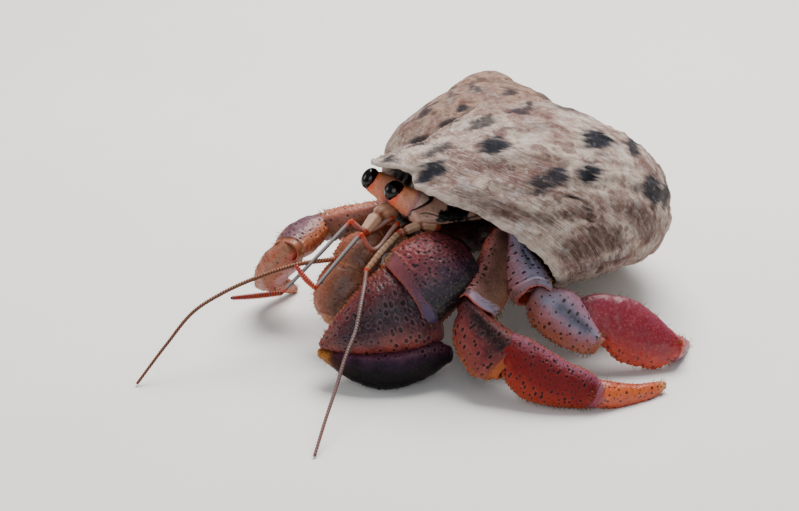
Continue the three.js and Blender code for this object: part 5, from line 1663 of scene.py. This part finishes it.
# The look and the CAD colour slot of each feeler, by its name or the start of its name.
FEELER_KINDS = {
    "antenna_base_left": (BASE_LOOK, "tan"), "antenna_base_right": (RIGHT_BASE_LOOK, "tan"),
    "antenna_stem_left": (LEFT_STEM_LOOK, "tan"), "antenna_stem_right": (RIGHT_STEM_LOOK, "tan"),
    "antenna_whip_left": (LEFT_WHIP_LOOK, "whip"), "antenna_whip_right": (RIGHT_WHIP_LOOK, "whip"),
    "antennule_base": (ANTENNULE_LOOK, "tan"), "antennule_rod": (ROD_LOOK, "rod"),
    "antennule_tip_left": (LEFT_TIP_LOOK, "orange"), "antennule_tip_right": (TIP_LOOK, "orange"),
    "maxilliped": (MAXILLIPED_LOOK, "tan"),
}
for name, (points, radii) in FEELERS.items():
    looks, slot = next(kind for key, kind in FEELER_KINDS.items() if name.startswith(key))
    tube(name, points, radii, looks)
print("feelers made:", len(FEELERS), "with", len(FEELER_KINDS), "looks")

# %% [markdown]
# ## The soft body
# Between the hard parts the animal is soft: a trunk under the shield, and a long abdomen that coils
# up inside the shell to hold it. They are one skin. Two balls are reshaped, joined into one mesh and
# fused with a Remesh modifier, which welds where they overlap and leaves no seam.

# %% Soft body, shapes
THORAX = {
    "from": (-0.6, 3.6, 19.2), "to": (2.2, 21.5, 18.0), "face": UP,
    "stations": ((0, 3.6, 4.4, 1.7, 2.6), (0.25, 5.2, 6.8, 2.0, 3.8), (0.55, 6.2, 7.8, 2.0, 4.2),
                 (0.8, 5.8, 7.0, 2.2, 4.0), (1, 4.6, 5.2, 2.4, 3.2)),
}
ABDOMEN_FRONT, ABDOMEN_BACK, ABDOMEN_FULLNESS = 0.6, 3.2, 0.47
ABDOMEN_END = 0.04       # share of the rings in each rounded end


def abdomen_points(place, angle):
    """Points of the abdomen, a smaller tube inside the hollow of the shell."""
    t = np.clip((place - ABDOMEN_END) / (1 - 2 * ABDOMEN_END), 0, 1)
    coil = -(ABDOMEN_FRONT + (ABDOMEN_BACK - ABDOMEN_FRONT) * t)
    ones = np.ones(len(t))
    flat = np.zeros(len(t))
    centre = (shell_points(coil, flat, 0, 0, ones) + shell_points(coil, flat + math.pi, 0, 0, ones)) / 2
    wall = shell_points(coil - SHELL["lead"] * np.sin(angle), angle, 0, 0, ones)
    swell = ABDOMEN_FULLNESS * np.sqrt(np.maximum(np.sin(math.pi * (0.12 + 0.86 * t)), 0))
    ends = np.sqrt(np.clip(np.minimum(place, 1 - place) / ABDOMEN_END, 0, 1))
    return centre + (wall - centre) * (swell * ends)[:, None]


print("the abdomen fills", ABDOMEN_FULLNESS, "of the hollow's width")

# %% [markdown]
# ## One skin for the soft body
# The fused skin is smoothed a little, then wrinkled along its normals. Its finish is dull brown, partly
# darkened as painted shade of the shell's hollow, with painted shade in the folds. It is soft and damp,
# so it gets a thin rough coat.


# %% Soft body, skin
SKIN_GRAIN = 0.55        # size of the remeshed faces, in millimetres
SOFTEN_STEPS = 6
TRUNK_RINGS, TRUNK_SIDES = 70, 64
BELLY_RINGS, BELLY_SIDES = 90, 48
WRINKLE_LIE = (1.0, 2.4, 1.0)    # wrinkles are closer together from front to back


def fused_skin():
    """The trunk and the abdomen as one closed mesh."""
    trunk, place, angle = ball("trunk", TRUNK_RINGS, TRUNK_SIDES)
    write_points(trunk, limb_shape(THORAX, place, angle, True)["points"] * MM)
    face_outward(trunk)
    belly, place, angle = ball("belly", BELLY_RINGS, BELLY_SIDES)
    write_points(belly, abdomen_points(place, angle) * MM)
    face_outward(belly)
    bm = bmesh.new()
    bm.from_mesh(trunk)
    bm.from_mesh(belly)
    joined = bpy.data.meshes.new("soft_parts")
    bm.to_mesh(joined)
    bm.free()
    rough = bpy.data.objects.new("soft_parts", joined)
    bpy.context.collection.objects.link(rough)
    weld = rough.modifiers.new("weld", "REMESH")
    weld.mode = "VOXEL"
    weld.voxel_size = SKIN_GRAIN * MM
    soften = rough.modifiers.new("soften", "SMOOTH")
    soften.iterations = SOFTEN_STEPS
    graph = bpy.context.evaluated_depsgraph_get()
    mesh = bpy.data.meshes.new_from_object(rough.evaluated_get(graph))
    mesh.name = "soft_body"
    bpy.data.objects.remove(rough)
    return mesh


def make_soft_body():
    """The fused skin with its wrinkles and its finish."""
    mesh = fused_skin()
    points = read_points(mesh) / MM
    wrinkles = 0.14 * drift(points * np.array(WRINKLE_LIE), size=2.0, seed=31)
    wrinkles = wrinkles + 0.06 * drift(points, size=0.9, seed=32)
    points = points + normals(mesh) * wrinkles[:, None]
    keep_value(mesh, "wrinkle", 0.5 + 2.5 * wrinkles)
    f = Finish("soft_skin", coat=0.25, specular=0.4, coat_rough=0.3)
    # partly painted shade: the dull brown is partly the skin's own colour and partly the shade inside the
    # shell
    base = f.ramp(f.noise(4.0, 4), [(0.35, "#5f4238"), (0.5, "#6c4c40"), (0.65, "#50362e")])
    # painted shade: the troughs of the wrinkles are darkened
    base = f.mix(f.spread(f.stored("wrinkle"), 0.5, 0.2, 0, 0.6), base, "#33201c")
    base = f.mix(f.spread(f.noise(0.6, 3), 0.5, 0.7, 0, 0.4), base, "#8a6654")
    material = f.done(base, 0.5, f.bump(f.noise(0.4, 3), 0.08, 0.7))
    return finish_piece(mesh, points, material, ["thorax", "abdomen"])


print("soft body faces:", len(make_soft_body().data.polygons))

# %% [markdown]
# ## Bristles
# Stiff pale bristles stand in tufts along the keels and round the joints of every limb. Each bristle
# is a thin four-sided cone, made with `create_cone` and bent by moving its tip. Each one starts on
# the armour and leans outward and forward. First we only choose where they stand: some near the far
# joint, all round it, and the rest along the two keels. Hair particles would be quicker to place, but
# they aren't a mesh and so can't be exported.

# %% Roots of the bristles
HAIR_SPOTS = {
    "cheliped_left": {"carpus": 110, "palm": 60, "merus": 30, "dactyl": 30},
    "leg_2_left": {"merus": 150, "carpus": 80, "propodus": 60, "dactyl": 50},
    "leg_3_left": {"merus": 130, "carpus": 90, "propodus": 70, "dactyl": 40},
    "leg_2_right": {"merus": 60, "carpus": 70, "propodus": 60, "dactyl": 50},
    "leg_3_right": {"merus": 50, "carpus": 60, "propodus": 60, "dactyl": 50},
    "cheliped_right": {"carpus": 50, "palm": 60, "dactyl": 30},
}


def bristle_roots(part, count, pointed, rng):
    """Root places, outward directions and forward directions on a segment, most of them on its keels."""
    end = TIP_END if pointed else BALL_END
    place = BALL_START + (end - BALL_START) * rng.uniform(0.05, 1.0, count)
    near_joint = rng.random(count) < 0.45
    place[near_joint] = end - (end - BALL_START) * rng.uniform(0.0, 0.10, near_joint.sum())
    angle = rng.normal(0.0, 0.30, count) + math.pi * (rng.random(count) < 0.6)
    angle[near_joint] = rng.uniform(-math.pi, math.pi, near_joint.sum())
    here = limb_shape(part, place, angle, pointed)
    inner = limb_shape(part, place, angle + math.pi, pointed)
    out = here["points"] - (here["points"] + inner["points"]) / 2
    out /= np.linalg.norm(out, axis=1, keepdims=True)
    return here["points"], out, here["axis"], here["t"], (angle % (2 * math.pi)) / (2 * math.pi)


print("bristles:", {limb: sum(counts.values()) for limb, counts in HAIR_SPOTS.items()})

# %% [markdown]
# ## Making the bristles
# All bristles of a limb are cones in one mesh. The map named `OFBake` says where each face's colour is
# kept when the finish is turned into an image. A face has a small patch there, at the place of a root
# on an unwrap of the limb: along the limb one way, round it the other way. The patches are dealt out
# in the order of the mesh's faces, which isn't always the order in which the cones were made, so the
# faces of one bristle can lie in more than one patch.


# %% Bristles
BRISTLE_PATCH = 0.0015           # half of a patch, as a share of the map
BRISTLE_LENGTHS = (0.45, 1.15)
BRISTLE_ROOT, BRISTLE_TIP = 0.055, 0.015     # radii in millimetres
BRISTLE_SUNK = 0.12              # how deep a root sits in the armour
BRISTLE_BEND = 0.15
CONE_SIDES = 4
CONE_POINTS = 2 * CONE_SIDES


def make_bristles(limb, parts, looks, counts):
    """All the bristles of one limb as one mesh, with their map and finish."""
    rng = np.random.default_rng(sum(ord(letter) for letter in limb))
    bm = bmesh.new()
    patches = []
    for index, segment in enumerate(counts):
        pointed = looks[segment].get("pointed", False)
        roots, outs, axis, ts, turns = bristle_roots(parts[segment], counts[segment], pointed, rng)
        for root, out, t, turn in zip(roots, outs, ts, turns):
            length = rng.uniform(*BRISTLE_LENGTHS)
            lean = out + axis * rng.uniform(0.3, 1.1) + rng.normal(size=3) * 0.22
            lean /= np.linalg.norm(lean)
            first = np.cross(lean, (0.2, 0.3, 0.9))
            first /= np.linalg.norm(first)
            second = np.cross(lean, first)
            made = bmesh.ops.create_cone(bm, segments=CONE_SIDES, radius1=BRISTLE_ROOT,
                                         radius2=BRISTLE_TIP, depth=1.0, cap_ends=True)
            for vert in made["verts"]:
                up = vert.co.z + 0.5
                place = root + first * vert.co.x + second * vert.co.y + lean * (up * length - BRISTLE_SUNK)
                vert.co = place + out * (BRISTLE_BEND * up * up)
            patches.append(((index + 0.02 + 0.96 * t) / len(counts), 0.01 + 0.98 * turn))
    layer = bm.loops.layers.uv.new("OFBake")
    faces_each = len(bm.faces) // len(patches)
    for number, face in enumerate(bm.faces):
        u, v = patches[number // faces_each]
        for loop in face.loops:
            corner = loop.vert.index % CONE_POINTS * 2 * math.pi / CONE_POINTS
            loop[layer].uv = (u + BRISTLE_PATCH * math.cos(corner), v + BRISTLE_PATCH * math.sin(corner))
    mesh = bpy.data.meshes.new(limb + "_bristles")
    bm.to_mesh(mesh)
    bm.free()
    f = Finish(limb + "_bristle", specular=0.3)
    base = f.mix(f.noise(1.5, 2), "#b59a62", "#8a6a48")
    return finish_piece(mesh, read_points(mesh), f.done(base, 0.5), [])


LIMBS = {
    "cheliped_left": (LEFT_CLAW, CLAW_LOOKS), "cheliped_right": (RIGHT_CLAW, RIGHT_CLAW_LOOKS),
    "leg_2_left": (LEFT_LEG_2, LEG_2_LOOKS), "leg_3_left": (LEFT_LEG_3, LEG_3_LOOKS),
    "leg_2_right": (RIGHT_LEG_2, RIGHT_LEG_LOOKS), "leg_3_right": (RIGHT_LEG_3, RIGHT_LEG_LOOKS),
}
for limb, counts in HAIR_SPOTS.items():
    parts, looks = LIMBS[limb]
    hairs = make_bristles(limb, parts, looks, counts)
    print(f"{hairs.name}: {sum(counts.values())} bristles, {len(hairs.data.polygons)} faces")
